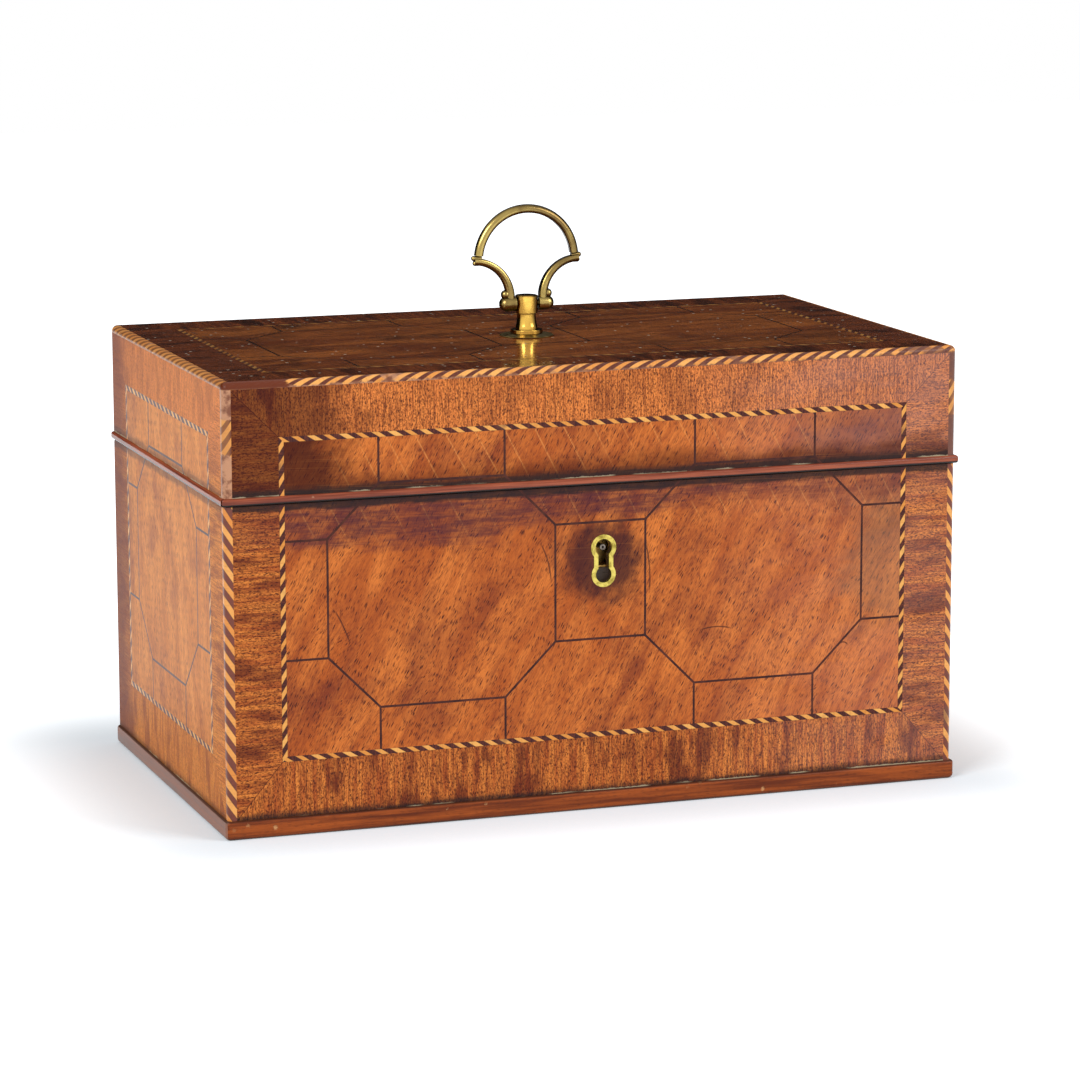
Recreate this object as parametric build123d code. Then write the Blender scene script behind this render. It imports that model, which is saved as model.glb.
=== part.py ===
from build123d import *
import math
import os

# A veneered tea caddy of about 1790. Millimetres, +Z up, the front faces -Y.
# The origin is the middle of the footprint, on the surface that the caddy stands on.

# Overall size, measured over the veneer
width = 300.0
depth = 174.0
lid_top = 175.5
lid_underside = 128.5
joint_gap = 0.2

# Carcass boards and sawn veneer
wall = 9.0
veneer = 0.9
top_board = 8.0

# Plinth strips round the bottom board
plinth_height = 7.4
plinth_projection = 1.2
plinth_strip = 5.0
plinth_corner_radius = 2.0
plinth_lower_radius = 1.3
plinth_upper_radius = 0.6

# Bead glued round the lower edge of the lid
bead_height = 3.1
bead_projection = 1.2
bead_radius = 1.1
bead_mitre_gap = 0.3

# Striped strings let into the outer edges
corner_string = 3.3
top_edge_string = 2.8
edge_radius = 2.3

# Inlaid pattern of each face
band_width = 21.5
rope_width = 2.1
line_width = 0.9
octagon_cut = 20.5
octagon_margin = 16.5
octagon_top_share = 0.1255
top_octagon_margin = 18.5
centre_width = 37.0
end_pattern_shift = 1.5

# Keyhole and its inlaid escutcheon
keyhole_x = 1.3
keyhole_under_joint = 24.6
keyhole_drop = 10.6
keyhole_upper_radius = 3.4
keyhole_lower_radius = 3.2
keyhole_neck = 4.4
escutcheon_band = 1.75
escutcheon_proud = 0.15
escutcheon_thickness = 1.6

# Lock let into the inner face and top edge of the front board
lock_width = 58.0
lock_height = 38.0
lock_depth = 7.0
lock_plate_thickness = 1.2
lock_selvedge = 1.4
lock_cap_inset = 5.0
lock_cap_wall = 0.8
lock_clearance = 0.3
key_pin_radius = 1.15
key_pin_sink = 1.0
key_pin_bore = 0.5
key_pin_bore_depth = 2.0

# Sliding bolt and the two staples that it enters
staple_spacing = 22.0
staple_thickness = 2.0
staple_width = 4.0
staple_drop = 9.5
staple_wall = 2.0
staple_eye_height = 3.4
staple_cheek = 0.6
staple_slack = 0.4
bolt_travel = 4.2
bolt_bar_height = 5.0
bolt_bar_rise = 4.8
bolt_thickness = 2.6
bolt_nose_thickness = 1.5
bolt_nose_height = 2.4
bolt_upright = 3.0
bolt_gap = 0.6
bolt_tail = 9.0
talon_radius = 3.4
spring_rise = 2.2
spring_thickness = 0.5
spring_width = 1.8
spring_end_gap = 0.4
spring_stump = (3.0, 2.4)
link_plate_length = 48.0
link_plate_width = 6.0
link_plate_thickness = 1.3

# Butt hinges
hinge_spacing = 170.0
hinge_length = 38.0
hinge_leaf_width = 8.0
hinge_leaf = 1.4
hinge_barrel_radius = 2.2
hinge_pin_radius = 1.0
hinge_pin_clearance = 0.05
hinge_barrel_clearance = 0.3
hinge_inset = 1.0
hinge_knuckles = 3
hinge_knuckle_gap = 0.15
hinge_screw_inset = 5.4
hinge_screw_pitch = 13.0
lid_stop_angle = 101.0

# Countersunk screws
screw_head_radius = 1.9
screw_head_depth = 1.0
screw_radius = 0.9
screw_length = 6.5
screw_slot_width = 0.5
screw_slot_depth = 0.35
lock_screw_inset = 2.6

# Compartments and their lift-out lids
well_width = 94.0
partition = 5.0
rim_depth = 10.0
ledge_width = 3.0
ledge_height = 5.0
inner_lid_thickness = 5.0
inner_lid_clearance = 0.4
inner_lid_edge_radius = 0.8
knob_foot_radius = 3.0
knob_neck_radius = 1.7
knob_ball_radius = 3.5
knob_height = 8.6
knob_peg_radius = 1.5

# Turned post, rose and nut of the handle
rose_radius = 10.9
rose_rim = 0.4
rose_height = 1.0
rose_crown_radius = 6.6
stud_radius = 2.2
stud_clearance = 0.2
post_ring_radius = 6.2
post_ring_height = 1.6
post_foot_radius = 4.5
post_foot_rise = 0.8
post_waist_radius = 3.8
post_waist_height = 8.0
post_head_radius = 4.55
post_head_base = 8.9
post_height = 16.4
post_edge = 0.4
nut_size = 9.0
nut_thickness = 4.0
stud_end = 1.2

# Swinging bail
bail_axis_height = 13.0
bail_ring_radius = 20.3
bail_ring_height = 30.8
bail_foot_angle = 6.0
bail_rod_width = 3.7
bail_flat_width = 2.7
bail_flat_crown = 0.25
arm_radius = 15.0
arm_centre_x = 22.0
arm_centre_height = 15.6
arm_end_angle = -8.0
boss_radius = 3.05
boss_length = 3.6
boss_gap = 0.3
boss_bead_radius = 1.8
boss_bead_x = 8.9
boss_bead_height = 16.8
lip_radius = 1.05
lip_start_x = 19.0
lip_upper = (22.3, 31.9)
lip_lower = (21.7, 29.9)
dome_slopes = 3
peg_radius = 1.2
peg_length = 3.6
peg_clearance = 0.05

# Places worked out from the sizes above
half_width = width / 2
half_depth = depth / 2
case_top = lid_underside - joint_gap
bead_top = lid_underside + bead_height
keyhole_z = case_top - keyhole_under_joint
octagon_top = lid_underside + octagon_top_share * (lid_top - lid_underside)
board_x = half_width - veneer
board_y = half_depth - veneer
inner_x = board_x - wall
inner_y = board_y - wall
lid_ceiling = lid_top - veneer - top_board
hinge_y = half_depth - hinge_inset
hinge_z = lid_underside - joint_gap / 2
lock_back_y = -inner_y
lock_front_y = lock_back_y - lock_depth
works_front_y = lock_front_y + lock_cap_wall
works_back_y = lock_back_y - lock_plate_thickness
works_middle_y = (works_front_y + works_back_y) / 2
boss_face = post_head_radius + boss_gap
big = 2 * max(width, depth, lid_top)


def block(x0, x1, y0, y1, z0, z1):
    """A square block between two corners."""
    middle = Pos((x0 + x1) / 2, (y0 + y1) / 2, (z0 + z1) / 2)
    return middle * Box(x1 - x0, y1 - y0, z1 - z0)


def rectangle(u0, v0, u1, v1):
    """A flat rectangle between two corners."""
    return Pos((u0 + u1) / 2, (v0 + v1) / 2) * Rectangle(u1 - u0, v1 - v0)


def outline(*points):
    """A flat face with straight sides."""
    return make_face(Polyline(*points, close=True))


def rod(radius, start, end):
    """A round rod between two points."""
    axis = Vector(*end) - Vector(*start)
    return extrude(Plane(origin=start, z_dir=axis) * Circle(radius), axis.length)


def turned(profile):
    """A solid turned about Z from points of radius and height."""
    return revolve(Plane.XZ * make_face(profile), Axis.Z)


def both_ends(solids):
    """The same pieces at the right and at the left end."""
    return list(solids) + [mirror(solid, about=Plane.YZ) for solid in solids]


def write(name, solids):
    """Write one node: its pieces stay separate solids."""
    pieces = [piece for solid in solids for piece in solid.solids()]
    export_step(Compound(pieces, label=name), f"parts/{name}.step")


# Inlaid faces: a face is drawn flat and then cut through the thickness of the veneer

front_plane = Plane(origin=(0, -half_depth, 0), x_dir=(1, 0, 0), z_dir=(0, -1, 0))
right_plane = Plane(origin=(half_width, 0, 0), x_dir=(0, 1, 0), z_dir=(1, 0, 0))
top_plane = Plane(origin=(0, 0, lid_top), x_dir=(1, 0, 0), z_dir=(0, 0, 1))

case_range = rectangle(-big, plinth_height, big, case_top)
lid_range = rectangle(-big, bead_top, big, lid_top)
whole_range = rectangle(-big, -big, big, big)


def sheets(face, area, plane, thickness=veneer):
    """The pieces of a flat drawing that lie in an area, cut from sheet."""
    cut = face & area
    if cut is None:
        return []
    return [extrude(plane * piece, thickness, dir=-plane.z_dir) for piece in cut.faces()]


def shrink(frame, amount):
    """The corners of a frame moved in by one amount on every side."""
    return (frame[0] + amount, frame[1] + amount, frame[2] - amount, frame[3] - amount)


def mitred_frame(outer, inner):
    """The four strips between two rectangles, mitred at their corners."""
    corners = [(0, 1), (2, 1), (2, 3), (0, 3)]
    strips = []
    for first, second in zip(corners, corners[1:] + corners[:1]):
        strips.append(outline(
            (outer[first[0]], outer[first[1]]), (outer[second[0]], outer[second[1]]),
            (inner[second[0]], inner[second[1]]), (inner[first[0]], inner[first[1]])))
    return strips


def line(start, end):
    """One dark line of the inlay, long enough to close its corners."""
    start, end = Vector(*start), Vector(*end)
    run = end - start
    turn = math.degrees(math.atan2(run.Y, run.X))
    middle = (start + end) * 0.5
    length = run.length + line_width * math.tan(math.radians(22.5))
    return Pos(middle.X, middle.Y) * Rot(0, 0, turn) * Rectangle(length, line_width)


def octagon_corners(octagon):
    """Corners of an octagon that fills a rectangle, from its left side round."""
    u0, v0, u1, v1 = octagon
    cut = octagon_cut
    return [(u0, v0 + cut), (u0 + cut, v0), (u1 - cut, v0), (u1, v0 + cut),
            (u1, v1 - cut), (u1 - cut, v1), (u0 + cut, v1), (u0, v1 - cut)]


def dark_lines(frame, octagons):
    """Octagons in a row, with a line from every corner to the frame or the next one."""
    u0, v0, u1, v1 = frame
    drawn = []
    for number, octagon in enumerate(octagons):
        corners = octagon_corners(octagon)
        drawn += [line(a, b) for a, b in zip(corners, corners[1:] + corners[:1])]
        drawn += [line(corners[i], (corners[i][0], v0)) for i in (1, 2)]
        drawn += [line(corners[i], (corners[i][0], v1)) for i in (5, 6)]
        left = u0 if number == 0 else octagons[number - 1][2]
        drawn += [line((left, corners[i][1]), corners[i]) for i in (0, 7)]
        if number == len(octagons) - 1:
            drawn += [line(corners[i], (u1, corners[i][1])) for i in (3, 4)]
    return (Sketch() + drawn) & rectangle(*frame)


def inlay(edge, rope_frame, octagons, area, plane):
    """Panels, banding, lines and rope strings of one face."""
    inner = shrink(rope_frame, rope_width)
    lines = dark_lines(inner, octagons)
    pieces = {"panels": [], "banding": [], "lines": [], "rope": []}
    pieces["panels"] = sheets(rectangle(*inner) - lines, area, plane)
    pieces["lines"] = sheets(lines, area, plane)
    for strip in mitred_frame(edge, rope_frame):
        pieces["banding"] += sheets(strip, area, plane)
    for strip in mitred_frame(rope_frame, inner):
        pieces["rope"] += sheets(strip, area, plane)
    return pieces


def pair_of_octagons(frame, v0, v1):
    """Two octagons side by side in a frame, with the centre square between them."""
    u1 = frame[2] - rope_width - octagon_margin
    return [(-u1, v0, -centre_width / 2, v1), (centre_width / 2, v0, u1, v1)]


def front_inlay(area):
    """The front: one drawing across lid and case, cut at the joint."""
    x = half_width - corner_string
    edge = (-x, plinth_height, x, lid_top - top_edge_string)
    frame = (band_width - half_width, plinth_height + band_width,
             half_width - band_width, lid_top - band_width)
    foot = frame[1] + rope_width + octagon_margin
    octagons = pair_of_octagons(frame, foot, octagon_top)
    return inlay(edge, frame, octagons, area, front_plane)


def end_inlay(area):
    """The right end: one octagon, a little nearer to the back."""
    edge = (corner_string - half_depth, plinth_height, half_depth, lid_top - top_edge_string)
    frame = (band_width - half_depth, plinth_height + band_width,
             half_depth - band_width, lid_top - band_width)
    inner = shrink(frame, rope_width)
    octagon = (inner[0] + octagon_margin + end_pattern_shift, inner[1] + octagon_margin,
               inner[2] - octagon_margin + end_pattern_shift, octagon_top)
    return inlay(edge, frame, [octagon], area, right_plane)


def top_inlay():
    """The top of the lid: the front's drawing on a flatter field."""
    x, y = half_width - top_edge_string, half_depth - top_edge_string
    frame = (band_width - half_width, band_width - half_depth,
             half_width - band_width, half_depth - band_width)
    reach = frame[3] - rope_width - top_octagon_margin
    octagons = pair_of_octagons(frame, -reach, reach)
    return inlay((-x, -y, x, half_depth), frame, octagons, whole_range, top_plane)


# Keyhole, screws and hinge recesses

def keyhole(grow=0.0):
    """Keyhole outline on the front, grown on all sides."""
    lower = keyhole_z - keyhole_drop
    neck = keyhole_neck / 2 + grow
    return (Pos(keyhole_x, keyhole_z) * Circle(keyhole_upper_radius + grow)
            + Pos(keyhole_x, lower) * Circle(keyhole_lower_radius + grow)
            + rectangle(keyhole_x - neck, lower, keyhole_x + neck, keyhole_z))


def escutcheon():
    """Brass band of the keyhole, let into veneer and board."""
    plane = front_plane.offset(escutcheon_proud)
    return sheets(keyhole(escutcheon_band) - keyhole(), whole_range, plane,
                  escutcheon_thickness)


def escutcheon_blank():
    """The space that the escutcheon and its hole take from the front."""
    return sheets(keyhole(escutcheon_band), whole_range, front_plane.offset(1),
                  escutcheon_thickness + 1 - escutcheon_proud)


def keyhole_tunnel():
    """The keyhole right through the wood to the lock."""
    return sheets(keyhole(), whole_range, front_plane, lock_front_y + half_depth)


def screw(place, direction, slot_turn=0.0):
    """Countersunk screw whose head lies flush at a place and points one way."""
    taper = Line((screw_head_radius, 0), (screw_radius, -screw_head_depth))
    shank = Polyline((screw_radius, -screw_head_depth), (screw_radius, -screw_length),
                     (0, -screw_length), (0, 0), (screw_head_radius, 0))
    body = turned(taper + shank)
    slot = Rot(0, 0, slot_turn) * Box(3 * screw_head_radius, screw_slot_width,
                                      2 * screw_slot_depth)
    return Plane(origin=place, z_dir=direction) * (body - slot)


def screw_hole(place, direction):
    """The hole that a screw fills."""
    profile = Polyline((0, 0), (screw_head_radius, 0), (screw_radius, -screw_head_depth),
                       (screw_radius, -screw_length), (0, -screw_length), (0, 0))
    return Plane(origin=place, z_dir=direction) * turned(profile)


def hinge_centres():
    return [-hinge_spacing / 2, hinge_spacing / 2]


def hinge_screw_places(z):
    """Three screws in every leaf."""
    return [(x + step * hinge_screw_pitch, hinge_y - hinge_screw_inset, z)
            for x in hinge_centres() for step in (-1, 0, 1)]


def lock_screw_places():
    """Four screws at the corners of the lock's back plate."""
    x = lock_width / 2 - lock_screw_inset
    low = case_top - lock_height + lock_screw_inset
    high = case_top - lock_selvedge - lock_screw_inset
    return [(keyhole_x + side * x, lock_back_y, z) for side in (-1, 1) for z in (low, high)]


def link_screw_places():
    """A screw near each end of the link plate."""
    x = link_plate_length / 2 - 2 * screw_head_radius
    return [(keyhole_x + side * x, works_middle_y, lid_underside) for side in (-1, 1)]


def hinge_blanks(up):
    """What a back board loses to a hinge: leaf recess and barrel trough."""
    blanks = []
    z0, z1 = (lid_underside, lid_underside + hinge_leaf) if up else (case_top - hinge_leaf, case_top)
    for x in hinge_centres():
        x0, x1 = x - hinge_length / 2, x + hinge_length / 2
        blanks.append(block(x0, x1, hinge_y - hinge_leaf_width, hinge_y, z0, z1))
        trough = hinge_barrel_radius + hinge_barrel_clearance
        blanks.append(rod(trough, (x0, hinge_y, hinge_z), (x1, hinge_y, hinge_z)))
    return blanks


def stop_bevels():
    """The groove behind the joint whose two faces meet when the lid is fully open."""
    reach = 3 * hinge_inset
    rise = reach * math.tan(math.radians(lid_stop_angle / 2))
    profile = outline((hinge_y, hinge_z), (hinge_y + reach, hinge_z + rise),
                      (hinge_y + reach, hinge_z - rise))
    return extrude(Plane.YZ * profile, half_width + 1, both=True)


# Strings on the outer edges

def rounded_body():
    """The whole caddy as one block with its stringed edges rounded."""
    body = block(-half_width, half_width, -half_depth, half_depth, 0, lid_top)
    upright = body.edges().filter_by(Axis.Z).sort_by(Axis.Y)[:2]
    top = body.edges().group_by(Axis.Z)[-1].sort_by(Axis.Y)[:3]
    return fillet(list(upright) + list(top), edge_radius)


def corner_blank(z0, z1):
    """Square blank of a striped corner string, at the right."""
    return block(half_width - corner_string, half_width,
                 -half_depth, corner_string - half_depth, z0, z1)


def top_edge_blanks():
    """Square blanks round the front and ends of the top, mitred in front."""
    z0 = lid_top - top_edge_string
    outer = (-half_width, -half_depth, half_width, half_depth)
    inner = (top_edge_string - half_width, top_edge_string - half_depth,
             half_width - top_edge_string, half_depth)
    strips = mitred_frame(outer, inner)
    used = [strips[0], strips[1], strips[3]]
    return [Pos(0, 0, z0) * extrude(strip, top_edge_string) for strip in used]


def case_corner_strings():
    blank = corner_blank(plinth_height, case_top)
    return both_ends([blank & rounded_body()])


def lid_edge_strings():
    body = rounded_body()
    upright = corner_blank(bead_top, lid_top - top_edge_string)
    return [blank & body for blank in both_ends([upright]) + top_edge_blanks()]


# Case

def bottom_board():
    x = half_width + plinth_projection - plinth_strip
    y = half_depth + plinth_projection - plinth_strip
    return block(-x, x, -y, y, 0, plinth_height)


def plinth():
    """Four mitred strips with softened edges."""
    outer = (-half_width - plinth_projection, -half_depth - plinth_projection,
             half_width + plinth_projection, half_depth + plinth_projection)
    slab = block(outer[0], outer[2], outer[1], outer[3], 0, plinth_height)
    slab = fillet(slab.edges().filter_by(Axis.Z), plinth_corner_radius)
    slab = fillet(slab.edges().group_by(Axis.Z)[0], plinth_lower_radius)
    slab = fillet(slab.edges().group_by(Axis.Z)[-1], plinth_upper_radius)
    strips = mitred_frame(outer, shrink(outer, plinth_strip))
    return [extrude(strip, plinth_height) & slab for strip in strips]


def lock_blank():
    """The mortise of the lock, open inwards and upwards."""
    x0, x1 = keyhole_x - lock_width / 2, keyhole_x + lock_width / 2
    low = case_top - lock_height
    plate = block(x0, x1, works_back_y, lock_back_y, low, case_top)
    selvedge = block(x0, x1, lock_front_y, lock_back_y, case_top - lock_selvedge, case_top)
    works = block(x0 + lock_cap_inset, x1 - lock_cap_inset, lock_front_y, lock_back_y,
                  low + lock_cap_inset, case_top)
    return plate + selvedge + works


def front_board():
    board = block(-board_x, board_x, -board_y, -inner_y, plinth_height, case_top)
    holes = [screw_hole(place, (0, 1, 0)) for place in lock_screw_places()]
    blanks = both_ends([corner_blank(0, case_top)])
    return board - lock_blank() - blanks - escutcheon_blank() - keyhole_tunnel() - holes


def back_board():
    board = block(-board_x, board_x, inner_y, board_y, plinth_height, case_top)
    holes = [screw_hole(place, (0, 0, 1)) for place in hinge_screw_places(case_top)]
    return board - hinge_blanks(False) - stop_bevels() - holes


def right_end_board(z0, z1):
    return block(inner_x, board_x, -inner_y, inner_y, z0, z1)


def case_back_veneer():
    sheet = block(-board_x, board_x, board_y, half_depth, plinth_height, case_top)
    return sheet - hinge_blanks(False) - stop_bevels()


def end_back_bevel(pieces):
    """End veneers follow the bevels of the back edge."""
    return [piece - stop_bevels() for piece in pieces]


# Lock

def lock_plate():
    """Back plate and selvedge in one casting, with slots for the two staples."""
    x0, x1 = keyhole_x - lock_width / 2, keyhole_x + lock_width / 2
    plate = block(x0, x1, works_back_y, lock_back_y, case_top - lock_height, case_top)
    plate += block(x0, x1, lock_front_y, lock_back_y, case_top - lock_selvedge, case_top)
    plate -= [staple_shank(x, staple_slack, case_top - lock_selvedge, case_top)
              for x in staple_centres()]
    plate -= [screw_hole(place, (0, 1, 0)) for place in lock_screw_places()]
    pin_end = (keyhole_x, lock_back_y, keyhole_z)
    plate -= rod(key_pin_radius, (keyhole_x, works_front_y, keyhole_z), pin_end)
    x = sum(spring_ends()) / 2
    half, rise = spring_stump[0] / 2, spring_stump[1]
    z = bolt_bar_top() + spring_rise + spring_thickness
    return plate + block(x - half, x + half, works_front_y + lock_clearance, works_back_y,
                         z, z + rise)


def lock_cap():
    """Thin tray that covers the works, with the keyhole in its front."""
    x0 = keyhole_x - lock_width / 2 + lock_cap_inset
    x1 = keyhole_x + lock_width / 2 - lock_cap_inset
    z0, z1 = case_top - lock_height + lock_cap_inset, case_top - lock_selvedge
    t = lock_cap_wall
    tray = block(x0, x1, lock_front_y, works_back_y, z0, z1)
    tray -= block(x0 + t, x1 - t, works_front_y, works_back_y, z0 + t, z1)
    hole = sheets(keyhole(), whole_range, front_plane, works_front_y + half_depth)
    return tray - hole


def key_pin():
    """Drilled pin that the barrel of the key slides over."""
    tip = key_pin_sink - half_depth
    pin = rod(key_pin_radius, (keyhole_x, tip, keyhole_z), (keyhole_x, lock_back_y, keyhole_z))
    bore_end = (keyhole_x, tip + key_pin_bore_depth, keyhole_z)
    return pin - rod(key_pin_bore, (keyhole_x, tip, keyhole_z), bore_end)


def staple_centres():
    return [keyhole_x - staple_spacing / 2, keyhole_x + staple_spacing / 2]


def staple_eye_z():
    """Height of the middle of the staples' eyes."""
    return lid_underside - staple_drop + staple_wall + staple_eye_height / 2


def nose_roots():
    """Where the bolt's noses start while it is withdrawn."""
    return [x - staple_thickness / 2 - bolt_gap - bolt_travel for x in staple_centres()]


def bolt_bar_top():
    return keyhole_z + bolt_bar_rise + bolt_bar_height


def spring_ends():
    """The spring lies between the bolt's uprights, clear of the bolt's travel."""
    left, right = nose_roots()
    return (left + bolt_travel + spring_end_gap, right - bolt_upright - spring_end_gap)


def bolt():
    """Sliding bolt: a bar with a talon for the key and two noses that enter the staples."""
    y0 = works_front_y + lock_clearance
    y1 = y0 + bolt_thickness
    bar_z0 = keyhole_z + bolt_bar_rise
    bar_z1 = bolt_bar_top()
    nose_z0 = staple_eye_z() - bolt_nose_height / 2
    nose_z1 = staple_eye_z() + bolt_nose_height / 2
    roots = nose_roots()
    shape = block(roots[0] - bolt_upright, roots[1] + bolt_tail, y0, y1, bar_z0, bar_z1)
    for root in roots:
        shape += block(root - bolt_upright, root, y0, y1, bar_z0, nose_z1)
        shape += block(root, root + bolt_travel, y1 - bolt_nose_thickness, y1, nose_z0, nose_z1)
    talon = rod(talon_radius, (keyhole_x, y0 - 1, bar_z0), (keyhole_x, y1 + 1, bar_z0))
    return shape - talon


def bolt_spring():
    """Bowed strip between the bolt and a stump on the plate, which holds the bolt still."""
    x0, x1 = spring_ends()
    middle, z = (x0 + x1) / 2, bolt_bar_top()
    top = ThreePointArc((x0, z + spring_thickness), (middle, z + spring_rise + spring_thickness),
                        (x1, z + spring_thickness))
    under = ThreePointArc((x1, z), (middle, z + spring_rise), (x0, z))
    ends = [Line(top @ 1, under @ 0), Line(under @ 1, top @ 0)]
    y = works_front_y + lock_clearance
    plane = Plane(origin=(0, y, 0), x_dir=(1, 0, 0), z_dir=(0, -1, 0))
    return extrude(plane * make_face([top, under] + ends), spring_width, dir=(0, 1, 0))


def staple_shank(x, grow, z0, z1):
    """Square shank of a staple, grown on its four sides."""
    half, reach = staple_thickness / 2 + grow, staple_width / 2 + grow
    return block(x - half, x + half, works_middle_y - reach, works_middle_y + reach, z0, z1)


def link_plate():
    """Plate under the front of the lid that carries the staples."""
    x = link_plate_length / 2
    y = link_plate_width / 2
    top = lid_underside + link_plate_thickness
    plate = block(keyhole_x - x, keyhole_x + x, works_middle_y - y, works_middle_y + y,
                  lid_underside, top)
    plate -= [staple_shank(x, 0, lid_underside, top) for x in staple_centres()]
    return plate - [screw_hole(place, (0, 0, -1)) for place in link_screw_places()]


def link_staples():
    """Two eyed staples riveted through the link plate."""
    low, top = lid_underside - staple_drop, lid_underside + link_plate_thickness
    reach = staple_width / 2 - staple_cheek
    staples = []
    for x in staple_centres():
        eye = block(x - staple_thickness, x + staple_thickness, works_middle_y - reach,
                    works_middle_y + reach, low + staple_wall,
                    low + staple_wall + staple_eye_height)
        staples.append(staple_shank(x, 0, low, top) - eye)
    return staples


# Hinges

def knuckle_spans(x, own):
    """Ends of the knuckles that belong to one leaf of a hinge."""
    pitch = hinge_length / hinge_knuckles
    first = 0 if own == "case" else 1
    spans = []
    for number in range(first, hinge_knuckles, 2):
        start = x - hinge_length / 2 + number * pitch
        spans.append((start + hinge_knuckle_gap / 2, start + pitch - hinge_knuckle_gap / 2))
    return spans


def hinge_leaf_piece(x, own):
    """One leaf with its knuckles, screw holes and pin hole."""
    if own == "case":
        z0, z1, face = case_top - hinge_leaf, case_top, 1
    else:
        z0, z1, face = lid_underside, lid_underside + hinge_leaf, -1
    plate_end = hinge_y - hinge_barrel_radius - hinge_barrel_clearance
    leaf = block(x - hinge_length / 2, x + hinge_length / 2,
                 hinge_y - hinge_leaf_width, plate_end, z0, z1)
    for x0, x1 in knuckle_spans(x, own):
        leaf += rod(hinge_barrel_radius, (x0, hinge_y, hinge_z), (x1, hinge_y, hinge_z))
        leaf += block(x0, x1, plate_end, hinge_y, z0, z1)
    ends = (x - hinge_length, x + hinge_length)
    leaf -= rod(hinge_pin_radius + hinge_pin_clearance,
                (ends[0], hinge_y, hinge_z), (ends[1], hinge_y, hinge_z))
    z = case_top if own == "case" else lid_underside
    holes = [place for place in hinge_screw_places(z) if abs(place[0] - x) < hinge_length / 2]
    return leaf - [screw_hole(place, (0, 0, face)) for place in holes]


def hinge_pins():
    return [rod(hinge_pin_radius, (x - hinge_length / 2, hinge_y, hinge_z),
                (x + hinge_length / 2, hinge_y, hinge_z)) for x in hinge_centres()]


# Compartments

def partition_board():
    """Right-hand wall of the middle well."""
    x = well_width / 2
    return block(x, x + partition, -inner_y, inner_y, plinth_height, case_top - rim_depth)


def compartment():
    """Plan of the right-hand compartment."""
    return (well_width / 2 + partition, -inner_y, inner_x, inner_y)


def ledges():
    """Mitred strips that carry an inner lid."""
    top = case_top - rim_depth - inner_lid_thickness
    strips = mitred_frame(compartment(), shrink(compartment(), ledge_width))
    return [Pos(0, 0, top - ledge_height) * extrude(strip, ledge_height) for strip in strips]


def inner_lid():
    plan = shrink(compartment(), inner_lid_clearance)
    z1 = case_top - rim_depth
    lid = block(plan[0], plan[2], plan[1], plan[3], z1 - inner_lid_thickness, z1)
    lid = fillet(lid.edges().group_by(Axis.Z)[-1], inner_lid_edge_radius)
    return lid - knob_peg()


def knob_place():
    plan = compartment()
    return Pos((plan[0] + plan[2]) / 2, 0, case_top - rim_depth)


def knob_peg():
    return knob_place() * Pos(0, 0, -inner_lid_thickness / 2) * Cylinder(
        knob_peg_radius, inner_lid_thickness)


def knob():
    """Small turned knob on a peg."""
    ball_z = knob_height - knob_ball_radius
    neck_z = ball_z - math.sqrt(knob_ball_radius ** 2 - knob_neck_radius ** 2)
    foot = Polyline((0, 0), (knob_foot_radius, 0), (knob_foot_radius, neck_z / 3),
                    (knob_neck_radius, neck_z * 2 / 3), (knob_neck_radius, ball_z), (0, ball_z),
                    close=True)
    head = Pos(0, 0, ball_z) * ball(knob_ball_radius)
    return knob_place() * (turned(foot) + head) + knob_peg()


# Lid

def lid_front_board():
    board = block(-board_x, board_x, -board_y, -inner_y, lid_underside, lid_ceiling)
    x, y = link_plate_length / 2, link_plate_width / 2
    recess = block(keyhole_x - x, keyhole_x + x, works_middle_y - y, works_middle_y + y,
                   lid_underside, lid_underside + link_plate_thickness)
    holes = [screw_hole(place, (0, 0, -1)) for place in link_screw_places()]
    return board - both_ends([corner_blank(bead_top, lid_top)]) - recess - holes


def lid_back_board():
    board = block(-board_x, board_x, inner_y, board_y, lid_underside, lid_ceiling)
    holes = [screw_hole(place, (0, 0, -1)) for place in hinge_screw_places(lid_underside)]
    return board - hinge_blanks(True) - stop_bevels() - holes


def lid_top_board():
    board = block(-board_x, board_x, -board_y, board_y, lid_ceiling, lid_top - veneer)
    board -= both_ends([corner_blank(bead_top, lid_top)])
    hole = Pos(0, 0, lid_top) * Cylinder(stud_radius + stud_clearance, 4 * top_board)
    return board - top_edge_blanks() - hole


def lid_back_veneer():
    sheet = block(-board_x, board_x, board_y, half_depth, lid_underside, lid_top - veneer)
    return sheet - hinge_blanks(True) - stop_bevels() - top_edge_blanks()


def lid_bead():
    """Front strip and two end strips, mitred in front and cut square at the back."""
    x, y = half_width + bead_projection, half_depth + bead_projection
    slab = block(-x, x, -y, half_depth, lid_underside, bead_top)
    front_corners = slab.edges().filter_by(Axis.Z).sort_by(Axis.Y)[:2]
    slab = fillet(front_corners, bead_radius)
    for level in (0, -1):
        rim = slab.edges().group_by(Axis.Z)[level].sort_by(Axis.Y)[:-1]
        slab = fillet(rim, bead_radius)
    inner = (-board_x, -board_y, board_x, half_depth)
    strips = mitred_frame((-x, -y, x, half_depth), inner)
    front = extrude(strips[0], bead_height)
    end = extrude(Pos(bead_mitre_gap, bead_mitre_gap * 2) * strips[1], bead_height)
    pieces = [Pos(0, 0, lid_underside) * piece for piece in [front] + both_ends([end])]
    return [(piece & slab) - stop_bevels() for piece in pieces]


# Handle

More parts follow.
